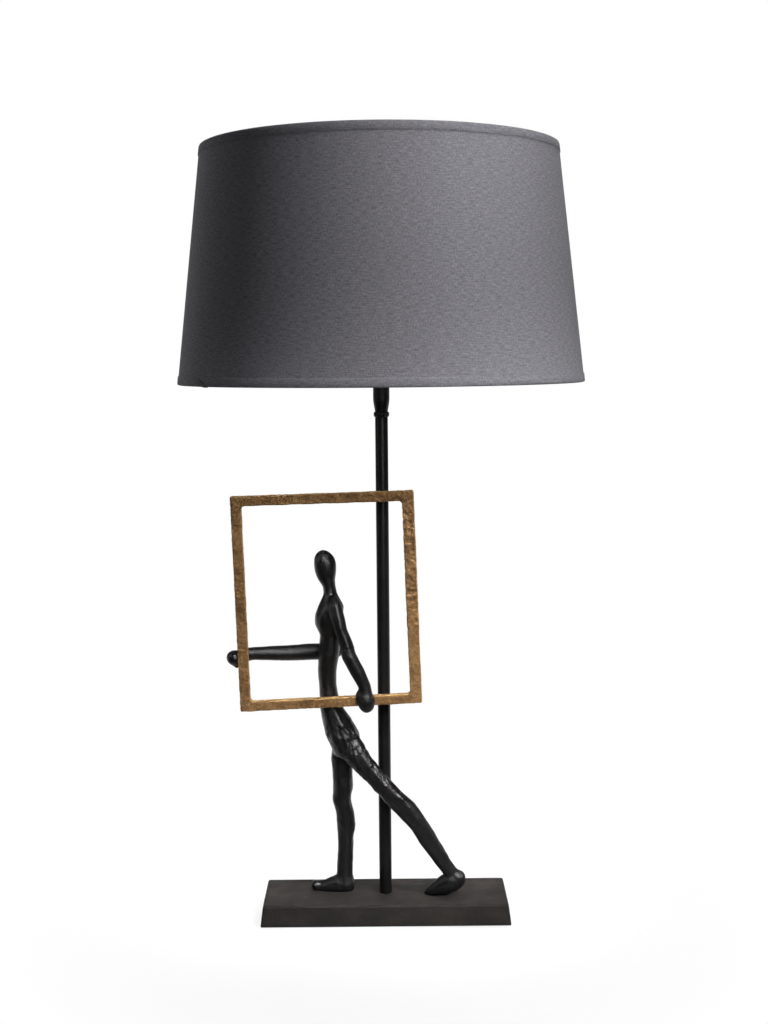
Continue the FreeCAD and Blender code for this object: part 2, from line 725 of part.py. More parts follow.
def carried_frame():
    """Empty picture frame, cast in one piece."""
    square = ((0, 0), (1, 0), (1, 1), (0, 1))
    outside = []
    for (x, z), (shift_x, shift_z) in zip(square, FRAME_CORNER_SHIFT_SHARES):
        outside.append((FRAME_WIDTH * (x + shift_x), FRAME_HEIGHT * (z + shift_z)))
    inward = (
        (FRAME_LEFT_BAR, FRAME_BOTTOM_BAR),
        (-FRAME_RIGHT_BAR, FRAME_BOTTOM_BAR),
        (-FRAME_RIGHT_BAR, -FRAME_TOP_BAR),
        (FRAME_LEFT_BAR, -FRAME_TOP_BAR),
    )
    inside = [(x + dx, z + dz) for (x, z), (dx, dz) in zip(outside, inward)]
    opening = frame_outline(inside, FRAME_INNER_CORNER_RADIUS)
    frame = frame_outline(outside, FRAME_OUTER_CORNER_RADIUS).cut(opening)
    frame.translate(V(0, -FRAME_BAR_DEPTH / 2, 0))
    frame.rotate(V(0, 0, 0), Y_AXIS, FRAME_LEAN_DEGREES)
    frame.translate(FRAME_CORNER)
    return frame


def above_plate(solid):
    """Trims whatever reaches below the plate's top, which leaves flat soles."""
    reach = BASE_LENGTH
    return solid.cut(block((-reach, reach), (-reach, reach), (BASE_TOP - reach, BASE_TOP)))


def near_leg_step():
    """How far the trailing leg stands out to pass in front of the tube."""
    return -(POLE_RADIUS + LEG_TO_POLE_GAP + sized(THIGH_HALF_DEPTH_SHARE))


def spread(shares):
    """Stations of centre and half width from a table of x, y, height and half width."""
    return [(body_point(x, y, z), sized(half)) for x, y, z, half in shares]


def level(shares, y_share):
    """Stations from a table of x, height and half width that keeps to one depth."""
    return [(body_point(x, y_share, z), sized(half)) for x, z, half in shares]


def figure_body():
    """Head, trunk, legs and upper arms, cast in one piece."""
    step = near_leg_step()
    near_leg = []
    for x, z, half, out in NEAR_LEG_SHARES:
        near_leg.append((body_point(x, 0, z) + V(0, step * out, 0), sized(half)))
    pieces = [
        limb(level(TRUNK_SHARES, 0), Z_AXIS, TRUNK_DEPTH_SHARE),
        limb(level(HEAD_SHARES, 0), Z_AXIS, HEAD_DEPTH_SHARE),
        limb(spread(FAR_LEG_SHARES), -Z_AXIS, FAR_LEG_DEPTH_SHARE),
        limb(near_leg, V(*NEAR_LEG_ALONG_SHARES), NEAR_LEG_DEPTH_SHARE),
        limb(level(FAR_FOOT_SHARES, FAR_FOOT_Y_SHARE), -X_AXIS, FOOT_DEPTH_SHARE),
        limb(level(NEAR_FOOT_SHARES, NEAR_FOOT_Y_SHARE), X_AXIS, FOOT_DEPTH_SHARE),
        limb(spread(NEAR_UPPER_ARM_SHARES), V(*NEAR_ARM_ALONG_SHARES), ARM_DEPTH_SHARE),
        limb(spread(FAR_UPPER_ARM_SHARES), -Z_AXIS, ARM_DEPTH_SHARE),
        limb(spread(FAR_ELBOW_SHARES), V(*FAR_ARM_ALONG_SHARES), ARM_DEPTH_SHARE),
    ]
    body = above_plate(fused(pieces))
    hole = FOOT_SCREW_DIAMETER / 2 + THREAD_CLEARANCE
    hole_top = BASE_TOP + FOOT_SCREW_GRIP + THREAD_CLEARANCE
    for x, y in foot_screw_places():
        body = body.cut(cylinder(hole, BASE_TOP - OVERRUN, hole_top, x, y))
    return body


def hand_sizes(half_shares):
    """Places and half sizes on a hand, from shares of the figure's height."""
    return [sized(share) for share in half_shares]


def forearm(start_shares, along_shares, palm, bow, shares):
    """Tapered forearm from where the casting's arm stops to the palm. bow is the way that it bulges."""
    x, y, z, half = start_shares
    start = body_point(x, y, z)
    stations = [(start, sized(half))]
    for reach, out, half in shares:
        stations.append((start + (palm - start) * reach + bow * sized(out), sized(half)))
    return limb(stations, V(*along_shares), ARM_DEPTH_SHARE)


def hand(palm, half_shares, thumb_shares, tilt_degrees):
    """Mitten of a hand with a thumb."""
    thumb_x, thumb_z, thumb_half_x, thumb_half_y, thumb_half_z = hand_sizes(thumb_shares)
    thumb = egg(palm + V(thumb_x, 0, thumb_z), (thumb_half_x, thumb_half_y, thumb_half_z))
    return egg(palm, hand_sizes(half_shares), tilt_degrees).fuse(thumb)


def near_forearm():
    """Forearm and hand brazed on at the elbow, the hand folded over the front of the lower bar."""
    grip = FRAME_CORNER + ALONG_BOTTOM_BAR * sized(NEAR_GRIP_SHARE) + ALONG_LEFT_BAR * (FRAME_BOTTOM_BAR / 2)
    back = FRAME_Y + FRAME_BAR_DEPTH / 2 - HAND_BACK_GAP
    palm = V(grip.x, back - sized(NEAR_HAND_HALF_SHARES[1]), grip.z)
    arm = forearm(NEAR_UPPER_ARM_SHARES[-1], NEAR_ARM_ALONG_SHARES, palm, X_AXIS, NEAR_FOREARM_SHARES)
    mitten = hand(palm, NEAR_HAND_HALF_SHARES, NEAR_THUMB_SHARES, NEAR_HAND_TILT_DEGREES)
    return arm.fuse(mitten).cut(carried_frame())


def far_forearm():
    """Forearm and hand brazed on below the elbow, the hand closed behind and outside the left bar."""
    grip = FRAME_CORNER + ALONG_LEFT_BAR * sized(FAR_GRIP_SHARE)
    front = FRAME_Y - FRAME_BAR_DEPTH / 2 + HAND_BACK_GAP
    palm = V(grip.x - sized(FAR_HAND_OUT_SHARE), front + sized(FAR_HAND_HALF_SHARES[1]), grip.z)
    arm = forearm(FAR_ELBOW_SHARES[-1], FAR_ARM_ALONG_SHARES, palm, Z_AXIS, FAR_FOREARM_SHARES)
    mitten = hand(palm, FAR_HAND_HALF_SHARES, FAR_THUMB_SHARES, FAR_HAND_TILT_DEGREES)
    return arm.fuse(mitten).cut(carried_frame())


PIECES = {
    "base_plate": base_plate,
    "base_felt": base_felt,
    "cord_bush": cord_bush,
    "foot_screws": foot_screws,
    "base_nut": base_nut,
    "pole": pole,
    "lock_ring": lock_ring,
    "neck": neck,
    "holder_cap": holder_cap,
    "holder_skirt": holder_skirt,
    "contact_block": contact_block,
    "centre_contact": centre_contact,
    "side_contact": side_contact,
    "lower_clamp_ring": lower_clamp_ring,
    "upper_clamp_ring": upper_clamp_ring,
    "shade_carrier": shade_carrier,
    "shade_skin": shade_skin,
    "shade_top_rim": top_rim,
    "shade_bottom_rim": bottom_rim,
    "bulb_tip": bulb_tip,
    "bulb_cap": bulb_cap,
    "bulb_glass": bulb_glass,
    "carried_frame": carried_frame,
    "figure_body": figure_body,
    "near_forearm": near_forearm,
    "far_forearm": far_forearm,
}


def main():
    os.makedirs("parts", exist_ok=True)
    for name, make in PIECES.items():
        shape = make()
        shape.exportStep(os.path.join("parts", name + ".step"))
        solids = len(shape.Solids)
        print(f"{name}: {solids} solid, valid {shape.isValid()}, {shape.Volume / 1000:.2f} cm3")


main()
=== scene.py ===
"""Looks of the table lamp: camera, soft light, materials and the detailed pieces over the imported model.

Lengths are in metres in the model's own frame: +Z is up, the lamp is seen from -Y and the figure walks
towards -X.
"""

import math

import bmesh
import bpy
import numpy as np
from mathutils import Matrix, Vector, noise


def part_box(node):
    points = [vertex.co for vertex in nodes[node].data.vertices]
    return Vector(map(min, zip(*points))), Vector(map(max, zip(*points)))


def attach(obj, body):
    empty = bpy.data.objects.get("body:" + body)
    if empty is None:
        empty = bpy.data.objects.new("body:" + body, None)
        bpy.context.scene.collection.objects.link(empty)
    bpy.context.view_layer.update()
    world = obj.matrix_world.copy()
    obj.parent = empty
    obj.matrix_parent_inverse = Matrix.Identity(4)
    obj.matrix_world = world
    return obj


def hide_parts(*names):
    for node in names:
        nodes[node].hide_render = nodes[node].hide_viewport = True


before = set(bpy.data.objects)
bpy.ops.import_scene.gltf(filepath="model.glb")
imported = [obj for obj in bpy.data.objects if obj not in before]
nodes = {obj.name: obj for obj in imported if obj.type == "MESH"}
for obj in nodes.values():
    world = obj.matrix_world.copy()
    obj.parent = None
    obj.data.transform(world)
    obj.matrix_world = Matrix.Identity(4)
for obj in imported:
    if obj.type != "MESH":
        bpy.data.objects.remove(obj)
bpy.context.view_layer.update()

MM = 0.001
FULL_TURN = 2 * math.pi

# height of the plate's top, where the figure and the tube stand
PLATE_TOP = 22 * MM

# camera
CAMERA_PLACE = (1.7 * MM, -1446 * MM, 574 * MM)
CAMERA_DOWN_DEGREES = 6.3
CAMERA_ROLL_DEGREES = -0.51
CAMERA_LENS_MM = 51.26
CAMERA_SENSOR_MM = 36.0

# shade: its hems, the thickness of its layers, its seam behind and the lap of its bottom tape
SHADE_BOTTOM_RADIUS = 199.8 * MM
SHADE_TOP_RADIUS = 174.0 * MM
HEM_HEIGHT = 8.5 * MM
TAPE = 0.7 * MM
LINEN = 0.5 * MM
LINER = 0.7 * MM
RIM_WIRE = 3.6 * MM
SHADE_SEGMENTS = 288
SEAM_DEGREES = 112.0
SEAM_WIDTH = 11.0 * MM
LAP_LOW_DEGREES = 217.2
LAP_HIGH_DEGREES = 212.6
LAP_SWEEP_DEGREES = 2.2
LAP_THICKNESS = 1.3 * MM
LAP_DROP = 0.6 * MM
WALL_INSET = 1.5 * MM
CLOTH_SWAY = 0.12 * MM

# cast pieces: size of the even faces that each is remade with, and what smoothing takes off plain forms
CAST_GRAIN = 0.85 * MM
PLATE_GRAIN = 1.1 * MM
FRAME_GRAIN = 0.75 * MM
BRAZE_GRAIN = 0.3 * MM
PLAIN_REGAIN = 0.02 * MM

# turned pieces: number of sides, and radius of the tube's bore, its thread and the thread's holes
ROUND_SEGMENTS = 96
TUBE_BORE = 3.5 * MM
THREAD_RADIUS = 5 * MM
TAPPED_RADIUS = 5.1 * MM


def new_object(name, data):
    """New object in the scene."""
    item = bpy.data.objects.new(name, data)
    bpy.context.scene.collection.objects.link(item)
    return item


def add_piece(name, vertices, faces, smooth_degrees=35.0):
    """New mesh object with smooth faces and sharp folds."""
    mesh = bpy.data.meshes.new(name)
    mesh.from_pydata(vertices, [], faces)
    mesh.update()
    return add_mesh(name, mesh, smooth_degrees)


def add_mesh(name, mesh, smooth_degrees=35.0):
    """New object from a mesh, shaded smooth up to an angle."""
    mesh.polygons.foreach_set("use_smooth", [True] * len(mesh.polygons))
    mesh.set_sharp_from_angle(angle=math.radians(smooth_degrees))
    return new_object(name, mesh)


def band_faces(rows, columns, closed):
    """Quads between closed outlines side by side. The last meets the first, or else both get a cap."""
    faces = []
    for i in range(rows if closed else rows - 1):
        this, below = i * columns, (i + 1) % rows * columns
        for j in range(columns):
            beside = (j + 1) % columns
            faces.append((this + j, below + j, below + beside, this + beside))
    if not closed:
        last = (rows - 1) * columns
        faces += [tuple(range(columns)), tuple(last + k for k in reversed(range(columns)))]
    return faces


def round_point(radius, angle, height):
    """Place at a radius and an angle about the lamp's axis."""
    return radius * math.cos(angle), radius * math.sin(angle), height


def turned(name, outline_at, segments, smooth_degrees):
    """Round piece whose closed outline, as pairs of radius and height, depends on the angle."""
    vertices = []
    for k in range(segments):
        angle = FULL_TURN * k / segments
        vertices += [round_point(radius, angle, height) for radius, height in outline_at(angle)]
    return add_piece(name, vertices, band_faces(segments, len(vertices) // segments, True), smooth_degrees)


def lathe(name, profile, segments=ROUND_SEGMENTS, smooth_degrees=35.0):
    """Turned piece with the same closed outline all round."""
    return turned(name, lambda angle: profile, segments, smooth_degrees)


def eased(points, radius, steps=4):
    """Closed outline with each corner rounded, by less where the sides are short."""
    outline = []
    count = len(points)
    for k in range(count):
        before, corner, after = (Vector(points[(k + step) % count]) for step in (-1, 0, 1))
        reach = min(radius, (before - corner).length / 2.2, (after - corner).length / 2.2)
        start = corner + (before - corner).normalized() * reach
        end = corner + (after - corner).normalized() * reach
        for step in range(steps + 1):
            share = step / steps
            point = start * (1 - share) ** 2 + corner * 2 * share * (1 - share) + end * share ** 2
            outline.append((point.x, point.y))
    return outline


def threaded(name, node, bore, depth, pitch, fade):
    """Tube in a node's place with a rolled thread outside that runs out at both ends."""
    foot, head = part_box(node)
    radius, low, high = head.x, foot.z, head.z
    rows_a_turn = 14
    rows = int((high - low) / pitch * rows_a_turn)

    def outline_at(angle):
        outline = [(bore, high), (bore, low)]
        for row in range(rows + 1):
            height = low + (high - low) * row / rows
            wave = 0.5 + 0.5 * math.cos(FULL_TURN * (height - low) / pitch - angle)
            ends = min(1.0, (height - low) / fade, (high - height) / fade)
            outline.append((radius - depth * (1 - wave ** 0.7 * ends), height))
        return outline

    return turned(name, outline_at, ROUND_SEGMENTS, 50.0)


# materials


def new_material(name, **settings):
    """Node tree and main shader of a new material with its plain numbers set."""
    material = bpy.data.materials.new(name)
    material.use_nodes = True
    tree = material.node_tree
    shader = tree.nodes["Principled BSDF"]
    for key, value in settings.items():
        shader.inputs[key.replace("_", " ")].default_value = value
    return material, tree, shader


def place(tree, scale=(1, 1, 1), source="Object"):
    """Coordinates in metres times a scale along each axis."""
    coordinates = tree.nodes.new("ShaderNodeTexCoord")
    mapping = tree.nodes.new("ShaderNodeMapping")
    mapping.inputs["Scale"].default_value = scale
    tree.links.new(coordinates.outputs[source], mapping.inputs["Vector"])
    return mapping.outputs["Vector"]


def clouds(tree, size, detail=4.0, roughness=0.55, stretch=(1, 1, 1), source="Object"):
    """Soft noise whose patches are about that size."""
    texture = tree.nodes.new("ShaderNodeTexNoise")
    texture.inputs["Scale"].default_value = 1.0
    texture.inputs["Detail"].default_value = detail
    texture.inputs["Roughness"].default_value = roughness
    tree.links.new(place(tree, tuple(s / size for s in stretch), source), texture.inputs["Vector"])
    return texture.outputs["Fac"]


def ramp(tree, factor, stops):
    """Colour or grey that follows a factor through stops of place and colour."""
    node = tree.nodes.new("ShaderNodeValToRGB")
    elements = node.color_ramp.elements
    while len(elements) < len(stops):
        elements.new(0.5)
    for element, (where, colour) in zip(elements, stops):
        element.position = where
        element.color = (*colour, 1.0)
    tree.links.new(factor, node.inputs["Fac"])
    return node.outputs["Color"]


def greys(*stops):
    """Stops of place and grey value as colours."""
    return [(where, (value, value, value)) for where, value in stops]


def feed(tree, value, socket):
    """Links a socket to a value that is one too, or sets it to a number or a colour."""
    if isinstance(value, bpy.types.NodeSocket):
        tree.links.new(value, socket)
    else:
        socket.default_value = (*value, 1.0) if isinstance(value, tuple) else value


def mix(tree, factor, first, second, blend="MIX"):
    """Two colours mixed by a factor that is a socket or a number."""
    node = tree.nodes.new("ShaderNodeMix")
    node.data_type = "RGBA"
    node.blend_type = blend
    for number, value in ((0, factor), (6, first), (7, second)):
        feed(tree, value, node.inputs[number])
    return node.outputs[2]


def arithmetic(tree, operation, first, second=0.0):
    """One sum on sockets or numbers."""
    node = tree.nodes.new("ShaderNodeMath")
    node.operation = operation
    for socket, value in zip(node.inputs, (first, second)):
        feed(tree, value, socket)
    return node.outputs[0]


def bumps(tree, shader, *heights):
    """Relief from pairs of a height texture and its depth in metres."""
    normal = None
    for height, depth in heights:
        node = tree.nodes.new("ShaderNodeBump")
        node.inputs["Distance"].default_value = depth
        tree.links.new(height, node.inputs["Height"])
        if normal is not None:
            tree.links.new(normal, node.inputs["Normal"])
        normal = node.outputs["Normal"]
    tree.links.new(normal, shader.inputs["Normal"])


def waxed_iron():
    """Hand-cast iron, blackened and waxed, a little browner in patches."""
    material, tree, shader = new_material("waxed_iron", Specular_IOR_Level=0.6)
    patches = clouds(tree, 14 * MM, 5.0, 0.6)
    tone = ramp(tree, patches, [
        (0.30, (0.0022, 0.0020, 0.0023)),
        (0.55, (0.0048, 0.0043, 0.0047)),
        (0.75, (0.0115, 0.0090, 0.0084)),
    ])
    grain = ramp(tree, clouds(tree, 2.6 * MM), greys((0.36, 0.55), (0.64, 1.7)))
    tree.links.new(mix(tree, 1.0, tone, grain, "MULTIPLY"), shader.inputs["Base Color"])
    polish = clouds(tree, 5 * MM, 6.0, 0.65)
    tree.links.new(ramp(tree, polish, greys((0.32, 0.31), (0.68, 0.47))), shader.inputs["Roughness"])
    bumps(tree, shader, (clouds(tree, 6.0 * MM), 0.50 * MM), (clouds(tree, 2.6 * MM, 3.0), 0.26 * MM))
    return material


def plate_iron():
    """Sand-cast iron plate, dark brown-black with faint lighter rubs."""
    material, tree, shader = new_material("plate_iron", Specular_IOR_Level=0.18)
    patches = clouds(tree, 45 * MM, 6.0, 0.6, (1, 1, 1.5))
    tone = ramp(tree, patches, [
        (0.30, (0.0175, 0.0158, 0.0152)),
        (0.55, (0.0260, 0.0228, 0.0210)),
        (0.78, (0.0430, 0.0340, 0.0280)),
    ])
    fine = ramp(tree, clouds(tree, 1.6 * MM, 3.0), greys((0.3, 0.80), (0.7, 1.14)))
    tree.links.new(mix(tree, 1.0, tone, fine, "MULTIPLY"), shader.inputs["Base Color"])
    polish = clouds(tree, 25 * MM, 6.0, 0.6)
    tree.links.new(ramp(tree, polish, greys((0.3, 0.52), (0.7, 0.72))), shader.inputs["Roughness"])
    bumps(tree, shader, (clouds(tree, 9.0 * MM), 0.35 * MM), (clouds(tree, 0.8 * MM, 3.0), 0.07 * MM))
    return material


def black_paint():
    """Satin black powder coat with a fine orange peel."""
    material, tree, shader = new_material("black_paint", Specular_IOR_Level=0.20)
    patches = clouds(tree, 30 * MM)
    tone = ramp(tree, patches, [(0.3, (0.0062, 0.0060, 0.0060)), (0.7, (0.0110, 0.0104, 0.0101))])
    tree.links.new(tone, shader.inputs["Base Color"])
    tree.links.new(ramp(tree, patches, greys((0.3, 0.32), (0.7, 0.44))), shader.inputs["Roughness"])
    bumps(tree, shader, (clouds(tree, 1.1 * MM, 2.0), 0.03 * MM))
    return material


def antique_brass():
    """Hammered brass with a brown patina, rubbed bright along its edges, its narrow sides a lighter gold
    that is partly worn metal and partly a painted highlight.
    """
    material, tree, shader = new_material("antique_brass", Metallic=0.6)
    patches = clouds(tree, 24 * MM, 6.0, 0.66)
    tone = ramp(tree, patches, [
        (0.32, (0.170, 0.089, 0.034)),
        (0.45, (0.276, 0.146, 0.055)),
        (0.64, (0.380, 0.218, 0.090)),
    ])
    freckles = ramp(tree, clouds(tree, 2.0 * MM, 4.0, 0.7), greys((0.36, 0.68), (0.64, 1.26)))
    tone = mix(tree, 1.0, tone, freckles, "MULTIPLY")
    geometry = tree.nodes.new("ShaderNodeNewGeometry")
    edges = ramp(tree, geometry.outputs["Pointiness"], greys((0.515, 0.0), (0.57, 0.9)))
    # narrow sides across the frame: their lighter gold below is partly worn metal and partly a painted
    # highlight
    split = tree.nodes.new("ShaderNodeSeparateXYZ")
    tree.links.new(geometry.outputs["Normal"], split.inputs[0])
    facing = arithmetic(tree, "ABSOLUTE", split.outputs["Y"])
    sides = ramp(tree, facing, greys((0.35, 0.85), (0.75, 0.0)))
    wear_and_painted_glint = arithmetic(tree, "MAXIMUM", edges, sides)
    broken = ramp(tree, clouds(tree, 3 * MM), greys((0.35, 0.3), (0.6, 1.0)))
    wear_and_painted_glint = arithmetic(tree, "MULTIPLY", wear_and_painted_glint, broken)
    # rubbed edges and the painted highlight of the narrow sides turn a lighter gold
    tone = mix(tree, wear_and_painted_glint, tone, (0.74, 0.48, 0.20))
    tree.links.new(tone, shader.inputs["Base Color"])
    polish = ramp(tree, clouds(tree, 5 * MM, 6.0, 0.65), greys((0.3, 0.40), (0.7, 0.62)))
    polish = mix(tree, edges, polish, (0.28, 0.28, 0.28))
    polish = mix(tree, sides, polish, (0.78, 0.78, 0.78))
    tree.links.new(polish, shader.inputs["Roughness"])
    hammered = clouds(tree, 5.0 * MM, 3.0, 0.6)
    rough = clouds(tree, 2.0 * MM, 3.0, 0.6)
    bumps(tree, shader, (hammered, 0.6 * MM), (rough, 0.42 * MM))
    return material


def thread_waves(tree, across, thread):
    """Rounded threads side by side along one direction of the cloth."""
    return arithmetic(tree, "SINE", arithmetic(tree, "MULTIPLY", across, FULL_TURN / thread))


def linen_cloth(name, base):
    """Dark grey plain-weave linen with thick and thin threads, placed by the cloth's own metres."""
    thread = 0.7 * MM
    material, tree, shader = new_material(name, Roughness=0.9, Specular_IOR_Level=0.10, Sheen_Weight=0.04)
    coordinates = tree.nodes.new("ShaderNodeTexCoord")
    split = tree.nodes.new("ShaderNodeSeparateXYZ")
    tree.links.new(coordinates.outputs["UV"], split.inputs[0])
    warp = thread_waves(tree, split.outputs[0], thread)
    weft = thread_waves(tree, split.outputs[1], thread)
    weave = arithmetic(tree, "MULTIPLY", warp, weft)
    slubs = clouds(tree, 0.85 * MM, 2.0, 0.6, (0.12, 1.0, 1.0), "UV")
    uprights = clouds(tree, 0.85 * MM, 2.0, 0.6, (1.0, 0.30, 1.0), "UV")
    both = arithmetic(tree, "MULTIPLY", arithmetic(tree, "ADD", slubs, uprights), 0.5)
    streaks = ramp(tree, both, greys((0.34, 0.58), (0.66, 1.42)))
    tone = mix(tree, 1.0, base, streaks, "MULTIPLY")
    lifted = arithmetic(tree, "ADD", arithmetic(tree, "MULTIPLY", weave, 0.5), 0.5)
    crossings = ramp(tree, lifted, greys((0.0, 0.86), (1.0, 1.12)))
    tone = mix(tree, 1.0, tone, crossings, "MULTIPLY")
    tree.links.new(tone, shader.inputs["Base Color"])
    bumps(tree, shader, (weave, 0.03 * MM), (both, 0.14 * MM))
    return material


def plain_finish(name, dark, light, rough, size, relief, **settings):
    """Finish that varies softly between two colours and carries a fine grain."""
    material, tree, shader = new_material(name, **settings)
    patches = clouds(tree, size)
    tree.links.new(ramp(tree, patches, [(0.3, dark), (0.7, light)]), shader.inputs["Base Color"])
    roughness = ramp(tree, patches, greys((0.3, rough * 0.85), (0.7, min(1.0, rough * 1.15))))
    tree.links.new(roughness, shader.inputs["Roughness"])
    bumps(tree, shader, (clouds(tree, size / 12, 3.0), relief))
    return material


def materials():
    """Every finish, by its slot or by its own name where a slot has two."""
    return {
        "iron": waxed_iron(),
        "base_iron": plate_iron(),
        "tube": black_paint(),
        "antique_brass": antique_brass(),
        "linen": linen_cloth("linen", (0.205, 0.199, 0.221)),
        "tape": linen_cloth("linen_tape", (0.192, 0.187, 0.207)),
        "steel": plain_finish(
            "zinc_steel", (0.42, 0.42, 0.43), (0.58, 0.58, 0.60), 0.36, 8 * MM, 0.03 * MM, Metallic=1.0),
        "felt": plain_finish(
            "black_felt", (0.010, 0.010, 0.011), (0.024, 0.024, 0.025), 0.95, 4 * MM, 0.6 * MM,
            Sheen_Weight=0.4),
        "rubber": plain_finish(
            "black_rubber", (0.012, 0.012, 0.012), (0.022, 0.022, 0.022), 0.7, 6 * MM, 0.05 * MM),
        "holder": plain_finish(
            "black_moulding", (0.010, 0.010, 0.010), (0.016, 0.016, 0.016), 0.28, 20 * MM, 0.02 * MM),
        "ceramic": plain_finish(
            "unglazed_ceramic", (0.70, 0.68, 0.62), (0.82, 0.80, 0.75), 0.6, 5 * MM, 0.05 * MM),
        # near-black cut edge of the tape's lap: glue and a painted crease shadow
        "glue_and_painted_shadow_edge": plain_finish(
            "glue_and_painted_shadow_edge", (0.006, 0.006, 0.006), (0.014, 0.014, 0.014), 0.8, 1 * MM, 0.05 * MM),
        "contact": plain_finish(
            "bright_brass", (0.62, 0.43, 0.17), (0.78, 0.58, 0.27), 0.25, 6 * MM, 0.01 * MM, Metallic=1.0),
        "carrier": plain_finish(
            "white_lacquer", (0.72, 0.71, 0.68), (0.80, 0.79, 0.76), 0.35, 12 * MM, 0.03 * MM),
        "liner": plain_finish(
            "white_lining", (0.74, 0.73, 0.70), (0.81, 0.80, 0.77), 0.55, 30 * MM, 0.05 * MM),
        "cap": plain_finish(
            "rolled_aluminium", (0.60, 0.60, 0.61), (0.75, 0.75, 0.76), 0.3, 5 * MM, 0.02 * MM,
            Metallic=1.0),
        "solder": plain_finish(
            "solder", (0.42, 0.42, 0.43), (0.60, 0.60, 0.61), 0.35, 3 * MM, 0.1 * MM, Metallic=1.0),
        "opal": plain_finish(
            "opal_glass", (0.80, 0.80, 0.77), (0.84, 0.84, 0.81), 0.22, 20 * MM, 0.005 * MM,
            Subsurface_Weight=0.3, Subsurface_Scale=0.01, Coat_Weight=0.3),
    }


FINISHES = materials()


def finish(piece, body, slot, replaced=(), finish_name=None):
    """Gives a piece its material and the body that it rides on, and hides the nodes that it stands for."""
    piece.data.materials.clear()
    piece.data.materials.append(FINISHES[finish_name or slot])
    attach(piece, body)
    if replaced:
        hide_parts(*replaced)
    return piece


# casting: a form is remade as one even skin, smoothed without shrinking and then given its relief


def copied(names):
    """One mesh with the solids of some nodes."""
    merged = bmesh.new()
    for name in names:
        merged.from_mesh(nodes[name].data)
    bmesh.ops.remove_doubles(merged, verts=merged.verts, dist=0.001 * MM)
    return merged


def add_lump(merged, centre, sizes, tilt_degrees=0.0):
    """Adds an egg of clay with half sizes along x, y and z, tilted in the plane of the frame."""
    turn = Matrix.Rotation(math.radians(tilt_degrees), 4, "Y")
    placed = Matrix.Translation(centre) @ turn @ Matrix.Diagonal((*sizes, 1.0))
    bmesh.ops.create_icosphere(merged, subdivisions=3, radius=1.0, matrix=placed)


def mesh_of(name, form):
    """Mesh of a form that is then done with."""
    mesh = bpy.data.meshes.new(name)
    form.to_mesh(mesh)
    form.free()
    return mesh


def evaluated_mesh(item):
    """Mesh of an object with its modifiers applied."""
    graph = bpy.context.evaluated_depsgraph_get()
    return bpy.data.meshes.new_from_object(item.evaluated_get(graph))


def even_skin(name, merged, grain):
    """The merged form as one closed skin of even faces."""
    mesh = mesh_of(name, merged)
    rough = new_object(name + "_rough", mesh)
    remesh = rough.modifiers.new("skin", "REMESH")
    remesh.mode = "VOXEL"
    remesh.voxel_size = grain
    skin = evaluated_mesh(rough)
    bpy.data.objects.remove(rough)
    bpy.data.meshes.remove(mesh)
    skin.name = name
    return skin


def softened(skin, passes, regain):
    """Evens out a skin by averaging, then pushes it back out by what it lost."""
    points = np.zeros(len(skin.vertices) * 3)
    skin.vertices.foreach_get("co", points)
    points = points.reshape(-1, 3)
    edges = np.zeros(len(skin.edges) * 2, dtype=np.int64)
    skin.edges.foreach_get("vertices", edges)
    first, second = edges.reshape(-1, 2).T
    count = len(points)
    neighbours = np.bincount(first, minlength=count) + np.bincount(second, minlength=count)
    for _ in range(passes):
        total = np.zeros_like(points)
        for axis in range(3):
            total[:, axis] += np.bincount(first, points[second, axis], count)
            total[:, axis] += np.bincount(second, points[first, axis], count)
        points = (points + total / neighbours[:, None]) / 2
    skin.vertices.foreach_set("co", points.ravel())
    skin.update()
    worked(skin, lambda point, normal: regain)


def worked(skin, depth_at):
    """Moves each point along its normal by what depth_at says for its place and normal."""
    moved = []
    for vertex in skin.vertices:
        moved.append(vertex.co + vertex.normal * depth_at(vertex.co, vertex.normal))
    skin.vertices.foreach_set("co", [value for point in moved for value in point])
    skin.update()


def split_off(whole, joint, along, tip):
    """Takes the limb beyond a joint's plane off a casting and closes both cuts. tip lies on the limb."""
    reach = 16 * MM
    beside = [face for face in whole.faces if (face.calc_center_median() - joint).length < reach]
    cut = set(beside)
    for face in beside:
        cut.update(face.edges)
        cut.update(face.verts)
    bmesh.ops.bisect_plane(whole, geom=list(cut), dist=0.0, plane_co=joint, plane_no=along)
    start = min(whole.faces, key=lambda face: (face.calc_center_median() - tip).length)
    limb_faces = {start}
    waiting = [start]
    while waiting:
        for edge in waiting.pop().edges:
            for face in edge.link_faces:
                if face not in limb_faces and (face.calc_center_median() - joint).dot(along) > 0:
                    limb_faces.add(face)
                    waiting.append(face)
    whole.faces.index_update()
    numbers = {face.index for face in limb_faces}
    limb = whole.copy()
    limb.faces.ensure_lookup_table()
    rest = [face for face in limb.faces if face.index not in numbers]
    bmesh.ops.delete(limb, geom=rest, context="FACES")
    bmesh.ops.delete(whole, geom=list(limb_faces), context="FACES")
    rim = [edge for edge in limb.edges if edge.is_boundary]
    seam = [vertex.co.copy() for vertex in {vertex for edge in rim for vertex in edge.verts}]
    for part in (whole, limb):
        rim = [edge for edge in part.edges if edge.is_boundary]
        bmesh.ops.holes_fill(part, edges=rim, sides=0)
    return limb, seam


def ridges(point, size):
    """Sharp-edged folds about that far apart, from -1 to 1."""
    return 1 - 2 * abs(noise.noise(point / size) * 2) ** 0.8


def knobs(point, size):
    """Soft knobs about that far apart, from about -1 to 1."""
    return noise.noise(point / size) + 0.5 * noise.noise(point / size * 2.1 + Vector((7.0, 3.0, 1.0)))


def dents(point, size):
    """Shallow hollows about that far apart with crests between them, from -1 to 1."""
    distances, _ = noise.voronoi(point / size)
    return min(1.0, (distances[0] / 0.62) ** 2) * 2 - 1


def near(value, middle, spread):
    """Fades from 1 at the middle to 0 a spread away."""
    return max(0.0, 1 - ((value - middle) / spread) ** 2)


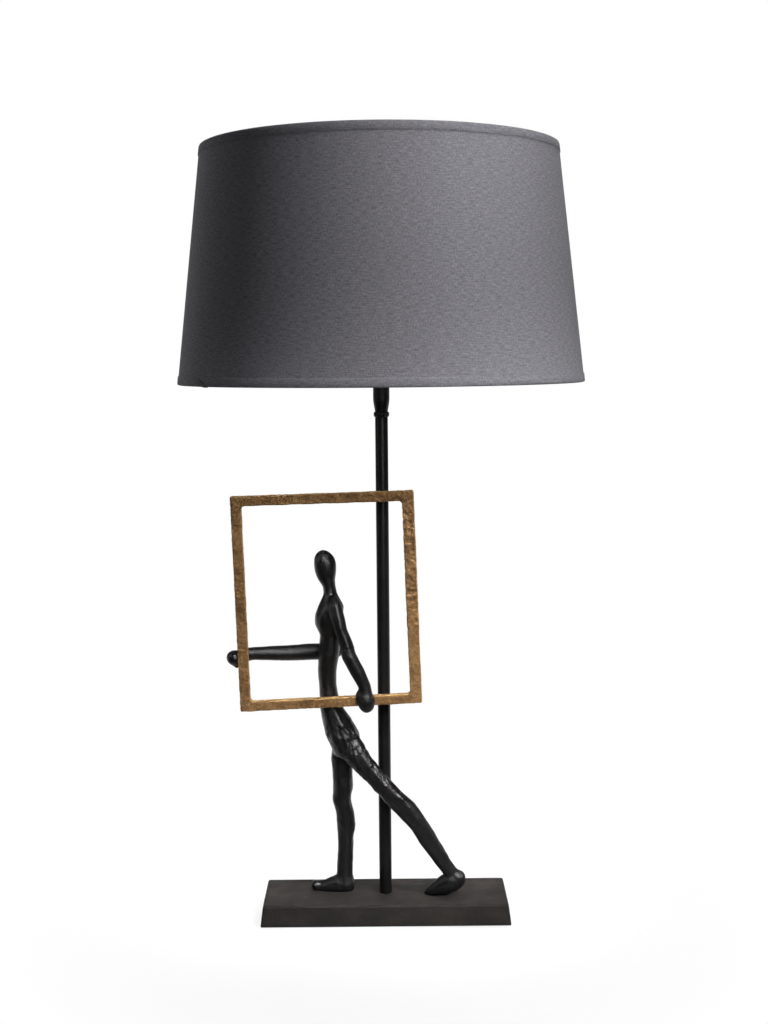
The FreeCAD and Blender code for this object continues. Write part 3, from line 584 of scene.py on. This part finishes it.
# figure: height, elbows, palms and toes, and the ways that its forearms and its trailing leg point
FIGURE_HEIGHT = 354.5 * MM
NEAR_ELBOW = Vector((-36.9, -21.4, 279.2)) * MM
NEAR_ARM_ALONG = Vector((0.31, -0.10, -0.94)).normalized()
NEAR_PALM = Vector((-17.9, -21.8, 226.9)) * MM
FAR_ELBOW = Vector((-92.88, 4.96, 271.2)) * MM
FAR_ARM_ALONG = Vector((-0.95, -0.31, 0.0)).normalized()
FAR_PALM = Vector((-148.8, -11.9, 270.1)) * MM
FAR_TOES = Vector((-72.0, 8.2, 27.4)) * MM
LEG_ALONG = Vector((0.617, 0.0, -0.787))

# photograph: its size in pixels, and the plane across y on which its folds are taken to lie
PHOTO_WIDTH = 768
PHOTO_HEIGHT = 1024
FOLD_PLANE_MM = -22.0

# folds of clay on the side towards the viewer, picked on the photograph: the pixels, across and
# down, of both ends, and half width and rise in mm
FOLDS = (
    (335, 714, 342, 728, 2.2, 0.9),
    (342, 728, 352, 738, 2.0, 0.9),
    (352, 724, 355, 737, 1.8, 1.0),
    (346, 711, 352, 723, 2.5, 0.5),
    (338, 729, 340, 737, 2.2, -0.8),
    (345, 740, 349, 752, 1.6, 0.7),
    (342, 742, 345, 752, 1.6, -0.7),
    (349, 743, 352, 752, 1.5, -0.5),
    (362, 753, 370, 768, 2.5, 0.6),
    (373, 771, 386, 786, 2.2, 0.8),
    (386, 786, 402, 799, 2.5, 0.8),
    (400, 797, 409, 806, 2.8, 0.9),
    (410, 808, 450, 864, 2.6, 0.6),
    (335, 600, 341, 628, 2.0, 0.5),
    (341, 628, 348, 646, 2.0, 0.6),
    (352, 656, 365, 680, 2.2, 0.4),
    (338, 765, 338, 800, 2.5, 0.5),
    (343, 815, 346, 860, 2.4, 0.4),
    (452, 872, 460, 881, 3.0, 0.5),
)


def shown_at(across, down):
    """x and height in mm, to a tenth, that a pixel of the photograph shows on the plane of the folds."""
    pitch, roll = math.radians(CAMERA_DOWN_DEGREES), math.radians(CAMERA_ROLL_DEGREES)
    focal_pixels = CAMERA_LENS_MM / CAMERA_SENSOR_MM * PHOTO_HEIGHT
    right, up = (across - PHOTO_WIDTH / 2) / focal_pixels, (PHOTO_HEIGHT / 2 - down) / focal_pixels
    aside = right * math.cos(roll) - up * math.sin(roll)
    above = right * math.sin(roll) + up * math.cos(roll)
    away = above * math.sin(pitch) + math.cos(pitch)
    climb = above * math.cos(pitch) - math.sin(pitch)
    x, y, z = (length / MM for length in CAMERA_PLACE)
    reach = (FOLD_PLANE_MM - y) / away
    return round(x + aside * reach, 1), round(z + climb * reach, 1)


FOLD_LINES = [(*shown_at(*row[:2]), *shown_at(*row[2:4]), *row[4:]) for row in FOLDS]


def folds(point, normal):
    """Rise of the folds at a place, only where it faces the viewer."""
    facing = max(0.0, -normal.y)
    x, z = point.x / MM, point.z / MM
    depth = 0.0
    if facing > 0:
        for x1, z1, x2, z2, half, rise in FOLD_LINES:
            along_x, along_z = x2 - x1, z2 - z1
            share = ((x - x1) * along_x + (z - z1) * along_z) / (along_x ** 2 + along_z ** 2)
            share = min(1.0, max(0.0, share))
            distance = math.hypot(x - x1 - share * along_x, z - z1 - share * along_z)
            if distance < 3 * half:
                depth += rise * math.exp(-(distance / half) ** 2)
    return depth * facing * MM


def figure_depth(point, normal):
    """Relief of the figure: crumpled over the hips, pulled lengthwise on the limbs and calm above."""
    share = (point.z - PLATE_TOP) / FIGURE_HEIGHT
    crumple = near(share, 0.45, 0.10)
    legs = near(share, 0.20, 0.28)
    calm = 0.35
    slant = min(1.0, max(0.0, (point.x + 40 * MM) / (40 * MM))) if share < 0.5 else 0.0
    along = Vector((0, 0, -1)).lerp(LEG_ALONG, slant)
    pulled = point - along * point.dot(along) * 0.5
    depth = 0.60 * MM * (calm + 0.6 * legs + 0.5 * crumple) * knobs(pulled, 9 * MM)
    depth += 0.30 * MM * crumple * ridges(point + Vector((0.02, 0.0, 0.0)), 9 * MM)
    depth += 0.055 * MM * (0.4 + legs + crumple) * dents(pulled, 6 * MM)
    depth += 0.05 * MM * (0.4 + legs + crumple) * knobs(pulled, 3.0 * MM)
    depth += 0.22 * MM * near(share, 0.0, 0.16) * knobs(point, 3.4 * MM)
    return depth + 1.3 * folds(point, normal)


def figure():
    """Walking figure in three castings, with a bead of braze at its near elbow."""
    clay = copied(["figure_body", "near_forearm", "far_forearm"])
    # clay that fills out the elbows, the palms and the toes of the far foot
    add_lump(clay, NEAR_ELBOW, (6.0 * MM, 5.4 * MM, 6.0 * MM))
    add_lump(clay, FAR_ELBOW, (7.0 * MM, 6.4 * MM, 7.2 * MM))
    add_lump(clay, NEAR_PALM, (8.0 * MM, 7.0 * MM, 11.0 * MM), -12.0)
    add_lump(clay, FAR_PALM, (7.6 * MM, 7.4 * MM, 7.2 * MM), 15.0)
    add_lump(clay, FAR_TOES, (4.6 * MM, 6.0 * MM, 4.4 * MM))
    skin = even_skin("casting", clay, CAST_GRAIN)
    softened(skin, passes=26, regain=0.62 * MM)
    worked(skin, figure_depth)
    for vertex in skin.vertices:
        vertex.co.z = max(vertex.co.z, PLATE_TOP)
    whole = bmesh.new()
    whole.from_mesh(skin)
    near_arm, near_seam = split_off(whole, NEAR_ELBOW, NEAR_ARM_ALONG, NEAR_PALM)
    far_arm, _ = split_off(whole, FAR_ELBOW, FAR_ARM_ALONG, FAR_PALM)
    for name, form, node in (
        ("walking_figure", whole, "figure_body"),
        ("near_arm_and_hand", near_arm, "near_forearm"),
        ("far_arm_and_hand", far_arm, "far_forearm"),
    ):
        finish(add_mesh(name, mesh_of(name, form), 70.0), "stand", "iron", [node])
    braze("near_elbow_braze", near_seam, NEAR_ELBOW, NEAR_ARM_ALONG)


def braze(name, seam, joint, along):
    """Thin uneven bead of braze round a seam."""
    side = along.orthogonal().normalized()
    other = along.cross(side)
    seam.sort(key=lambda point: math.atan2((point - joint).dot(other), (point - joint).dot(side)))
    beads = bmesh.new()
    for point in seam:
        swell = 0.5 + 0.5 * noise.noise(point / (2.2 * MM))
        inward = (joint - point).normalized() * 0.45 * MM
        add_lump(beads, point + inward, [(0.55 + 0.55 * swell) * MM] * 3)
    skin = even_skin(name, beads, BRAZE_GRAIN)
    softened(skin, passes=3, regain=0.0)
    finish(add_mesh(name, skin, 180.0), "stand", "iron")


def frame_depth(point, normal):
    """Relief of the carried frame: shallow hammer marks, deepest on the upper half of its right bar."""
    right = min(1.0, max(0.0, (point.x - 12 * MM) / (5 * MM)))
    upper = min(1.0, max(0.0, (point.z - 295 * MM) / (8 * MM)))
    depth = 0.16 * MM * knobs(point, 16 * MM) + 0.08 * MM * ridges(point, 6 * MM)
    depth += MM * (0.10 + 0.24 * right * upper) * dents(point, 5 * MM)
    rough = max(0.0, abs(normal.x) + abs(normal.z) - 0.5)
    return depth + 0.16 * MM * rough * knobs(point, 2.2 * MM)


def plain_casting(name, node, slot, grain, passes, depth_at):
    """One node remade as a casting with its own relief."""
    skin = even_skin(name, copied([node]), grain)
    softened(skin, passes, PLAIN_REGAIN)
    worked(skin, depth_at)
    finish(add_mesh(name, skin, 180.0), "stand", slot, [node])


def carried_frame():
    """Hammered brass frame."""
    plain_casting("brass_frame", "carried_frame", "antique_brass", FRAME_GRAIN, 3, frame_depth)


def plate_depth(point, normal):
    """Relief of the plate: the faint waves of a sand casting, none near its foot."""
    rise = min(1.0, max(0.0, (point.z - 3 * MM) / (4 * MM)))
    return 0.10 * MM * rise * knobs(point, 30 * MM)


def plate():
    """Cast base plate with eased edges."""
    plain_casting("cast_plate", "base_plate", "base_iron", PLATE_GRAIN, 4, plate_depth)


# tube, neck and lampholder


def tube():
    """Straight tube with thinner threaded ends and a slight chamfer at its shoulders."""
    low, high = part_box("pole")
    radius = high.x
    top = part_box("lock_ring")[0].z
    outline = eased([
        (TUBE_BORE, low.z), (THREAD_RADIUS, low.z), (THREAD_RADIUS, PLATE_TOP), (radius, PLATE_TOP),
        (radius, top), (THREAD_RADIUS, top), (THREAD_RADIUS, high.z), (TUBE_BORE, high.z),
    ], 0.35 * MM, 3)
    finish(lathe("tube", outline, 64), "stand", "tube", ["pole"])


def bead_ring():
    """Ring of upright beads under the neck."""
    low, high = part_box("lock_ring")
    beads = 12
    rise = 1.35 * MM
    rows = 12

    def outline_at(angle):
        bead = abs(math.cos(beads / 2 * angle)) ** 0.6
        outline = [(TAPPED_RADIUS, high.z), (TAPPED_RADIUS, low.z)]
        for row in range(rows + 1):
            share = row / rows
            belly = math.sqrt(max(0.0, 1 - (2 * share - 1) ** 2))
            radius = high.x - rise + rise * belly * (0.35 + 0.65 * bead)
            outline.append((radius, low.z + (high.z - low.z) * share))
        return outline

    finish(turned("bead_ring", outline_at, beads * 14, 60.0), "stand", "tube", ["lock_ring"])


def neck():
    """Turned neck that swells from the bead ring up into the shade."""
    low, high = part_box("neck")
    outer = high.x
    foot = 6.5 * MM
    rise = 13 * MM
    ease = 0.4 * MM
    chamfer = 0.5 * MM
    steps = 14
    outline = [(TAPPED_RADIUS, high.z), (TAPPED_RADIUS, low.z), (foot - ease, low.z), (foot, low.z + ease)]
    for step in range(1, steps + 1):
        share = step / steps
        swell = math.sin(share * math.pi / 2) ** 1.25
        outline.append((foot + (outer - foot) * swell, low.z + ease + (rise - ease) * share))
    outline += [(outer, high.z - chamfer), (outer - chamfer, high.z)]
    finish(lathe("neck_shell", outline, 64), "stand", "tube", ["neck"])


def lampholder():
    """Two-part lampholder with a threaded skirt."""
    low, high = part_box("holder_cap")
    outer = high.x
    band = outer - 0.6 * MM
    boss = 11 * MM
    shoulder = low.z + 8 * MM
    outline = eased([
        (TAPPED_RADIUS, low.z), (boss, low.z), (boss, shoulder - 1.5 * MM), (outer - 4 * MM, shoulder),
        (band, shoulder + 3 * MM), (band, high.z - 6 * MM), (outer, high.z - 5.5 * MM), (outer, high.z),
        (TAPPED_RADIUS, high.z),
    ], 0.8 * MM)
    finish(lathe("holder_shell", outline), "stand", "holder", ["holder_cap"])
    skirt = threaded(
        "holder_thread", "holder_skirt", bore=14.2 * MM, depth=0.8 * MM, pitch=3 * MM, fade=2 * MM)
    finish(skirt, "stand", "holder", ["holder_skirt"])


def clamp_ring(name, node, body):
    """Screw ring with ribs to grip and a flange towards the shade's carrier."""
    low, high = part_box(node)
    outer = high.x
    bore = 20.1 * MM
    flange = 3.0 * MM
    rib_rise = 1.1 * MM
    chamfer = 0.8 * MM
    ribs = 32
    # share of the height, and how far out: 1 is the flange, 0 the ribs and less than 0 a chamfer
    side = [(0.0, 0.9), (0.06, 1.0), (0.26, 1.0), (0.30, 0.0), (0.90, 0.0), (1.0, -0.6)]
    if body == "stand":
        side = [(1 - up, out) for up, out in reversed(side)]

    def outline_at(angle):
        rib = 0.5 + 0.5 * math.cos(ribs * angle)
        grip = outer - flange + rib_rise * rib ** 0.5
        outline = [(bore, high.z), (bore, low.z)]
        for up, out in side:
            radius = grip + (outer - grip) * max(0.0, out) + chamfer * min(0.0, out)
            outline.append((radius, low.z + (high.z - low.z) * up))
        return outline

    finish(turned(name, outline_at, ribs * 8, 40.0), body, "holder", [node])


# bulb


def bulb():
    """Opal bulb with a rolled screw cap and a soldered tip."""
    low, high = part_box("bulb_glass")
    # outline of the glass: share of its radius, share of its height
    shares = [
        (0.42, 0.0), (0.44, 0.06), (0.50, 0.13), (0.62, 0.22), (0.76, 0.32), (0.89, 0.43), (0.975, 0.54),
        (1.0, 0.64), (0.975, 0.74), (0.90, 0.83), (0.77, 0.905), (0.58, 0.96), (0.34, 0.99), (0.12, 1.0),
        (0.002, 1.0),
    ]
    side_wall = 1.1 * MM
    top_wall = 1.0 * MM
    inside_solid = 0.998
    radius = high.x * inside_solid
    height = high.z - low.z
    outer = [(radius * out, low.z + height * up) for out, up in shares]
    inner = []
    for out, up in reversed(outer):
        inner.append((max(outer[-1][0], out - side_wall), up - top_wall * (up - low.z) / height))
    glass = lathe("opal_glass", outer + inner, smooth_degrees=60.0)
    subdivide(glass)
    finish(glass, "bulb", "opal", ["bulb_glass"])
    cap = threaded("screw_cap", "bulb_cap", bore=5 * MM, depth=0.9 * MM, pitch=3.63 * MM, fade=2.6 * MM)
    finish(cap, "bulb", "cap", ["bulb_cap"])
    low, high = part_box("bulb_tip")
    tip = lathe("solder_tip", [
        (0.2 * MM, low.z), (2.2 * MM, low.z + 0.2 * MM), (3.6 * MM, low.z + 1.0 * MM), (4.4 * MM, high.z),
        (0.2 * MM, high.z),
    ], 48, 60.0)
    finish(tip, "bulb", "solder", ["bulb_tip"])


def subdivide(piece):
    """Rounds a mesh by one step of subdivision."""
    modifier = piece.modifiers.new("round", "SUBSURF")
    modifier.levels = 1
    rounded = evaluated_mesh(piece)
    piece.modifiers.clear()
    piece.data = rounded


# shade

SHADE_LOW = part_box("shade_bottom_rim")[0].z
SHADE_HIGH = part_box("shade_top_rim")[1].z


def shade_radius(height):
    """Outside radius over the hems at a height."""
    share = (height - SHADE_LOW) / (SHADE_HIGH - SHADE_LOW)
    return SHADE_BOTTOM_RADIUS + (SHADE_TOP_RADIUS - SHADE_BOTTOM_RADIUS) * share


def cloth_band(name, outline, segments=SHADE_SEGMENTS, start=0.0, sweep=FULL_TURN):
    """Band round the shade from an outline of depth inside the hem's face and height.

    Its own coordinates run round the shade and along the outline in metres, for the weave.
    """
    closed = sweep >= FULL_TURN
    columns = segments if closed else segments + 1
    rows = len(outline)
    vertices = []
    for k in range(columns):
        angle = start + sweep * k / segments
        sway = noise.noise(Vector((math.cos(angle) * 3, math.sin(angle) * 3, 0.5))) * CLOTH_SWAY
        for depth, height in outline:
            vertices.append(round_point(shade_radius(height) - depth + sway, angle, height))
    band = add_piece(name, vertices, band_faces(columns, rows, closed), 50.0)
    along = [0.0]
    for (depth, height), (next_depth, next_height) in zip(outline, outline[1:] + outline[:1]):
        along.append(along[-1] + math.hypot(next_depth - depth, next_height - height))
    layer = band.data.uv_layers.new(name="cloth")
    mean = shade_radius((SHADE_LOW + SHADE_HIGH) / 2)
    for face in band.data.polygons:
        sides = [index // rows for index in face.vertices]
        steps = [index % rows for index in face.vertices]
        for loop, side, step in zip(face.loop_indices, sides, steps):
            if max(sides) - min(sides) > 1 and side == 0:
                side = columns
            distance = along[step]
            if max(steps) - min(steps) > 1 and step == 0:
                distance = along[rows]
            layer.data[loop].uv = ((start + sweep * side / segments) * mean, distance)
    return band


def wall(name, depth, thickness):
    """Plain band of the shade's wall from rim to rim, some depth inside the face of the hems."""
    low, high = SHADE_LOW + WALL_INSET, SHADE_HIGH - WALL_INSET
    rows = 12
    heights = [low + (high - low) * k / rows for k in range(rows + 1)]
    face = [(depth, height) for height in heights]
    back = [(depth + thickness, height) for height in reversed(heights)]
    return cloth_band(name, face + back)


def hem(name, node, edge, way):
    """Tape folded over the wall's edge and a wire. way is 1 at the bottom, -1 at the top."""
    inside = TAPE + LINEN + LINER
    deep = inside + RIM_WIRE
    # depth inside the face, and distance from the rim
    profile = [
        (0.25 * MM, HEM_HEIGHT), (0.0, HEM_HEIGHT - 0.3 * MM), (0.0, 4.0 * MM), (0.05 * MM, 1.6 * MM),
        (0.5 * MM, 0.5 * MM), (1.6 * MM, 0.0),
        (deep - 1.2 * MM, 0.0), (deep + 0.2 * MM, 0.7 * MM), (deep + 0.6 * MM, 2.0 * MM),
        (deep + 0.1 * MM, 3.4 * MM), (inside + 1.2 * MM, 4.6 * MM), (inside + 0.6 * MM, 6.0 * MM),
        (inside + 0.5 * MM, HEM_HEIGHT - 0.4 * MM), (inside, HEM_HEIGHT - 0.1 * MM),
        (TAPE, HEM_HEIGHT - 0.1 * MM),
    ]
    outline = [(depth, edge + way * distance) for depth, distance in profile[::way]]
    return finish(cloth_band(name, outline), "shade", "tape", [node])


def back_seam():
    """Flat lap of the linen behind, from hem to hem."""
    middle = math.radians(SEAM_DEGREES)
    half = SEAM_WIDTH / 2 / SHADE_BOTTOM_RADIUS
    tuck = 0.5 * MM
    face, back = 0.25 * MM, TAPE + 0.1 * MM
    low, high = SHADE_LOW + HEM_HEIGHT - tuck, SHADE_HIGH - HEM_HEIGHT + tuck
    strip = [(face, low), (face, high), (back, high), (back, low)]
    return finish(cloth_band("back_seam", strip, 6, middle - half, 2 * half), "shade", "linen")


def shade():
    """Linen on a stiff white lining, with taped hems at both rims and a lapped seam behind."""
    cloth = wall("linen_cloth", TAPE, LINEN)
    finish(cloth, "shade", "linen", ["shade_skin"])
    finish(wall("lining", TAPE + LINEN, LINER), "shade", "linen", finish_name="liner")
    hems = [
        hem("bottom_hem", "shade_bottom_rim", SHADE_LOW, 1),
        hem("top_hem", "shade_top_rim", SHADE_HIGH, -1),
        back_seam(),
        lap(),
    ]


def lap():
    """End of the bottom tape, cut at a slant and lapped over its start, its cut edge near black for glue and
    a painted crease shadow.
    """
    # depth inside the face, and height over the rim
    outline = (
        (0.1 * MM, HEM_HEIGHT - 0.2 * MM), (-LAP_THICKNESS, HEM_HEIGHT - 0.6 * MM),
        (-LAP_THICKNESS, 4 * MM), (-LAP_THICKNESS, 1.2 * MM), (-0.1 * MM, -0.5 * LAP_DROP),
        (0.8 * MM, -LAP_DROP), (2.0 * MM, -LAP_DROP), (3.0 * MM, 0.0), (1.6 * MM, 1.6 * MM),
        (0.4 * MM, 4 * MM), (0.4 * MM, HEM_HEIGHT - 0.8 * MM),
    )
    columns = 25
    vertices = []
    for k in range(columns):
        share = k / (columns - 1)
        # thinner at the cut edge, and gone where it merges into the hem
        fade = min(1.0, 3 * (1 - share), 0.35 + 8 * share)
        for depth, up in outline:
            slant = LAP_LOW_DEGREES + (LAP_HIGH_DEGREES - LAP_LOW_DEGREES) * up / HEM_HEIGHT
            angle = math.radians(slant - LAP_SWEEP_DEGREES * share)
            if depth < 0:
                depth *= fade
            height = SHADE_LOW + (up if up > 0 else up * fade)
            vertices.append(round_point(shade_radius(height) - depth, angle, height))
    count = len(outline)
    piece = add_piece("tape_lap", vertices, band_faces(columns, count, False), 50.0)
    layer = piece.data.uv_layers.new(name="cloth")
    for loop in piece.data.loops:
        point = piece.data.vertices[loop.vertex_index].co
        around = math.atan2(point.y, point.x) * SHADE_BOTTOM_RADIUS
        layer.data[loop.index].uv = (around, point.z)
    finish(piece, "shade", "tape")
    # the first cap is the cut edge, near black for glue and a painted crease shadow
    piece.data.materials.append(FINISHES["glue_and_painted_shadow_edge"])
    piece.data.polygons[(columns - 1) * count].material_index = 1
    return piece


def add_spoke(merged, stations, turn):
    """Adds a flat bar with eased edges through its stations, turned about the lamp's axis."""
    half, deep, ease = 2.5 * MM, 0.8 * MM, 0.5 * MM
    section = eased([(-half, -deep), (half, -deep), (half, deep), (-half, deep)], ease, 2)
    loops = []
    for station in stations:
        loops.append([merged.verts.new(turn @ (station + Vector((0, side, up)))) for side, up in section])
    for first, second in zip(loops, loops[1:]):
        for j in range(len(section)):
            beside = (j + 1) % len(section)
            merged.faces.new((first[j], first[beside], second[beside], second[j]))
    merged.faces.new(loops[0][::-1])
    merged.faces.new(loops[-1])


def carrier():
    """White ring with three flat spokes that carry the shade's bottom hem."""
    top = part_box("shade_carrier")[1].z
    thickness = 1.6 * MM
    bore, outer = 20.2 * MM, 34 * MM
    spoke_start, short_of_face = 27.6 * MM, 2.6 * MM
    under = top - thickness
    outline = eased([(bore, under), (outer, under), (outer, top), (bore, top)], 0.5 * MM)
    ring = lathe("ring_draft", outline)
    merged = bmesh.new()
    merged.from_mesh(ring.data)
    bpy.data.objects.remove(ring)
    height = SHADE_LOW + HEM_HEIGHT / 2
    start = Vector((spoke_start, 0, top - thickness / 2))
    end = Vector((shade_radius(height) - short_of_face, 0, height))
    stations = [start.lerp(end, share) for share in (0.0, 0.02, 0.5, 0.98, 1.0)]
    spokes = 3
    for k in range(spokes):
        add_spoke(merged, stations, Matrix.Rotation(math.pi + FULL_TURN * k / spokes, 4, "Z"))
    bmesh.ops.recalc_face_normals(merged, faces=merged.faces)
    fitter = add_mesh("shade_fitter", mesh_of("shade_fitter", merged))
    finish(fitter, "shade", "carrier", ["shade_carrier"])


def kept_nodes():
    """Nodes whose own shape is right and that only get a finish."""
    for node, slot in (
        ("base_felt", "felt"), ("cord_bush", "rubber"), ("foot_screws", "steel"), ("base_nut", "steel"),
        ("contact_block", "ceramic"), ("centre_contact", "contact"), ("side_contact", "contact"),
    ):
        piece = nodes[node]
        piece.data.materials.clear()
        piece.data.materials.append(FINISHES[slot])


# surroundings

WHITE = (1.0, 1.0, 1.0, 1.0)

# white backdrop: its side, where reflections of sky and floor turn from dim to white, and two strengths
BACKDROP_SIDE = (0.10, 0.99, 0.0)
SKY_SPAN = (0.85, 1.0)
FLOOR_SPAN = (-0.12, 0.25)
FRONT_STRENGTH = 0.03
ROOM_STRENGTH = 0.12

# floor: half its width, its grey, the glow over it, and where its shadow starts to fade and ends
FLOOR_HALF = 6.0
FLOOR_GREY = 0.22
FLOOR_LIFT = 0.75
SHADOW_NEAR = 0.14
SHADOW_FAR = 0.38


def seen_directly(tree):
    """1 for what the camera, a reflection or glass sees, 0 for what lights the lamp."""
    path = tree.nodes.new("ShaderNodeLightPath")
    glossy, through = path.outputs["Is Glossy Ray"], path.outputs["Is Transmission Ray"]
    mirrored = arithmetic(tree, "MAXIMUM", glossy, through)
    return arithmetic(tree, "MAXIMUM", path.outputs["Is Camera Ray"], mirrored)


def emission(tree, strength):
    """White glow of some strength."""
    glow = tree.nodes.new("ShaderNodeEmission")
    glow.inputs["Color"].default_value = WHITE
    tree.links.new(strength, glow.inputs["Strength"])
    return glow


def mixed(tree, factor, first, second):
    """Two shader nodes mixed by a factor."""
    node = tree.nodes.new("ShaderNodeMixShader")
    tree.links.new(factor, node.inputs[0])
    tree.links.new(first.outputs[0], node.inputs[1])
    tree.links.new(second.outputs[0], node.inputs[2])
    return node.outputs[0]


def backdrop(tree, vector, span):
    """Strength of the white backdrop: full for the camera, dimmer in front of the lamp for reflections."""
    behind = tree.nodes.new("ShaderNodeVectorMath")
    behind.operation = "DOT_PRODUCT"
    behind.inputs[1].default_value = BACKDROP_SIDE
    tree.links.new(vector, behind.inputs[0])
    strength = tree.nodes.new("ShaderNodeMapRange")
    limits = (*span, FRONT_STRENGTH, 1.0)
    for key, value in zip(("From Min", "From Max", "To Min", "To Max"), limits):
        strength.inputs[key].default_value = value
    tree.links.new(behind.outputs["Value"], strength.inputs["Value"])
    path = tree.nodes.new("ShaderNodeLightPath")
    return arithmetic(tree, "MAXIMUM", path.outputs["Is Camera Ray"], strength.outputs["Result"])


def white_world():
    """White all round for the camera; reflections see the backdrop behind and a dimmer room in front."""
    world = bpy.data.worlds.new("studio")
    bpy.context.scene.world = world
    world.use_nodes = True
    tree = world.node_tree
    plain = tree.nodes["Background"]
    plain.inputs["Color"].default_value = WHITE
    plain.inputs["Strength"].default_value = ROOM_STRENGTH
    white = tree.nodes.new("ShaderNodeBackground")
    white.inputs["Color"].default_value = WHITE
    direction = tree.nodes.new("ShaderNodeTexCoord").outputs["Generated"]
    tree.links.new(backdrop(tree, direction, SKY_SPAN), white.inputs["Strength"])
    both = mixed(tree, seen_directly(tree), plain, white)
    tree.links.new(both, tree.nodes["World Output"].inputs["Surface"])


def white_floor():
    """Pale floor that keeps a faint shadow near the lamp and turns white farther out."""
    corners = [(FLOOR_HALF * x, FLOOR_HALF * y, 0) for x, y in ((-1, -1), (1, -1), (1, 1), (-1, 1))]
    floor = add_piece("floor", corners, [(0, 1, 2, 3)])
    material = bpy.data.materials.new("white_floor")
    material.use_nodes = True
    tree = material.node_tree
    tree.nodes.remove(tree.nodes["Principled BSDF"])
    seen = seen_directly(tree)
    spot = place(tree)
    white = backdrop(tree, spot, FLOOR_SPAN)
    matt = tree.nodes.new("ShaderNodeBsdfDiffuse")
    matt.inputs["Color"].default_value = (FLOOR_GREY, FLOOR_GREY, FLOOR_GREY, 1.0)
    lifted = arithmetic(tree, "MULTIPLY", white, FLOOR_LIFT)
    lift = emission(tree, arithmetic(tree, "MULTIPLY", seen, lifted))
    lit = tree.nodes.new("ShaderNodeAddShader")
    tree.links.new(matt.outputs[0], lit.inputs[0])
    tree.links.new(lift.outputs[0], lit.inputs[1])
    distance = tree.nodes.new("ShaderNodeVectorMath")
    distance.operation = "LENGTH"
    tree.links.new(spot, distance.inputs[0])
    far = ramp(tree, distance.outputs["Value"], greys((SHADOW_NEAR, 0.0), (SHADOW_FAR, 1.0)))
    both = mixed(tree, arithmetic(tree, "MULTIPLY", far, seen), lit, emission(tree, white))
    tree.links.new(both, tree.nodes["Material Output"].inputs["Surface"])
    floor.data.materials.append(material)


def soft_box(name, place_at, aim, size, watts, grid_degrees=180.0, mirrored=True, lights_matt=True):
    """Soft light of some width and height, aimed at a point. Only a mirrored one shows in reflections."""
    light = bpy.data.lights.new(name, "AREA")
    light.shape = "RECTANGLE"
    light.size, light.size_y = size
    light.energy = watts
    light.spread = math.radians(grid_degrees)
    lamp = new_object(name, light)
    lamp.location = place_at
    lamp.rotation_euler = (Vector(aim) - Vector(place_at)).to_track_quat("-Z", "Y").to_euler()
    lamp.visible_camera = False
    lamp.visible_glossy = mirrored
    lamp.visible_diffuse = lights_matt


def lights():
    """A key for the cloth, two gridded boxes in front, two that only glint and three behind."""
    middle = (0, 0, 0.45)
    soft_box("key", (0.252, -0.388, 0.92), (0, 0, 0.60), size=(0.07, 1.05), watts=3.15, mirrored=False)
    soft_box("front", (0.10, -0.90, 0.98), (-0.03, 0, 0.20), size=(0.6, 0.14), watts=0.40, grid_degrees=25.0)
    soft_box("sheen", (0.38, -1.08, 0.66), (-0.03, 0, 0.28), size=(0.34, 0.40), watts=3.6, lights_matt=False)
    soft_box("corner", (0.68, -0.50, 1.10), (0, 0, 0.04), size=(0.30, 0.25), watts=0.36, grid_degrees=20.0)
    soft_box("right", (0.85, 0.55, 0.80), middle, size=(0.5, 1.2), watts=1.5, mirrored=False)
    soft_box("left", (-0.85, 0.75, 0.60), middle, size=(0.5, 1.4), watts=5.4, mirrored=False)
    soft_box("edge", (-0.90, -0.25, 0.72), (0, 0, 0.50), size=(0.18, 0.5), watts=0.9, lights_matt=False)
    soft_box("above", (0.1, 0.75, 1.45), (0, 0, 0), size=(1.0, 0.6), watts=13.5, mirrored=False)


def camera():
    """Camera at the photograph's place."""
    data = bpy.data.cameras.new("camera")
    data.sensor_fit = "VERTICAL"
    data.sensor_height = CAMERA_SENSOR_MM
    data.lens = CAMERA_LENS_MM
    view = new_object("camera", data)
    level = Matrix.Rotation(math.radians(90 - CAMERA_DOWN_DEGREES), 4, "X")
    roll = Matrix.Rotation(math.radians(CAMERA_ROLL_DEGREES), 4, "Z")
    view.matrix_world = Matrix.Translation(CAMERA_PLACE) @ level @ roll
    bpy.context.scene.camera = view


def main():
    """Makes everything in turn."""
    camera()
    white_world()
    white_floor()
    lights()
    plate()
    figure()
    carried_frame()
    tube()
    bead_ring()
    neck()
    lampholder()
    clamp_ring("lower_ring", "lower_clamp_ring", "stand")
    clamp_ring("upper_ring", "upper_clamp_ring", "clamp_ring")
    carrier()
    shade()
    bulb()
    kept_nodes()
    bpy.context.scene.view_settings.view_transform = "Standard"


main()
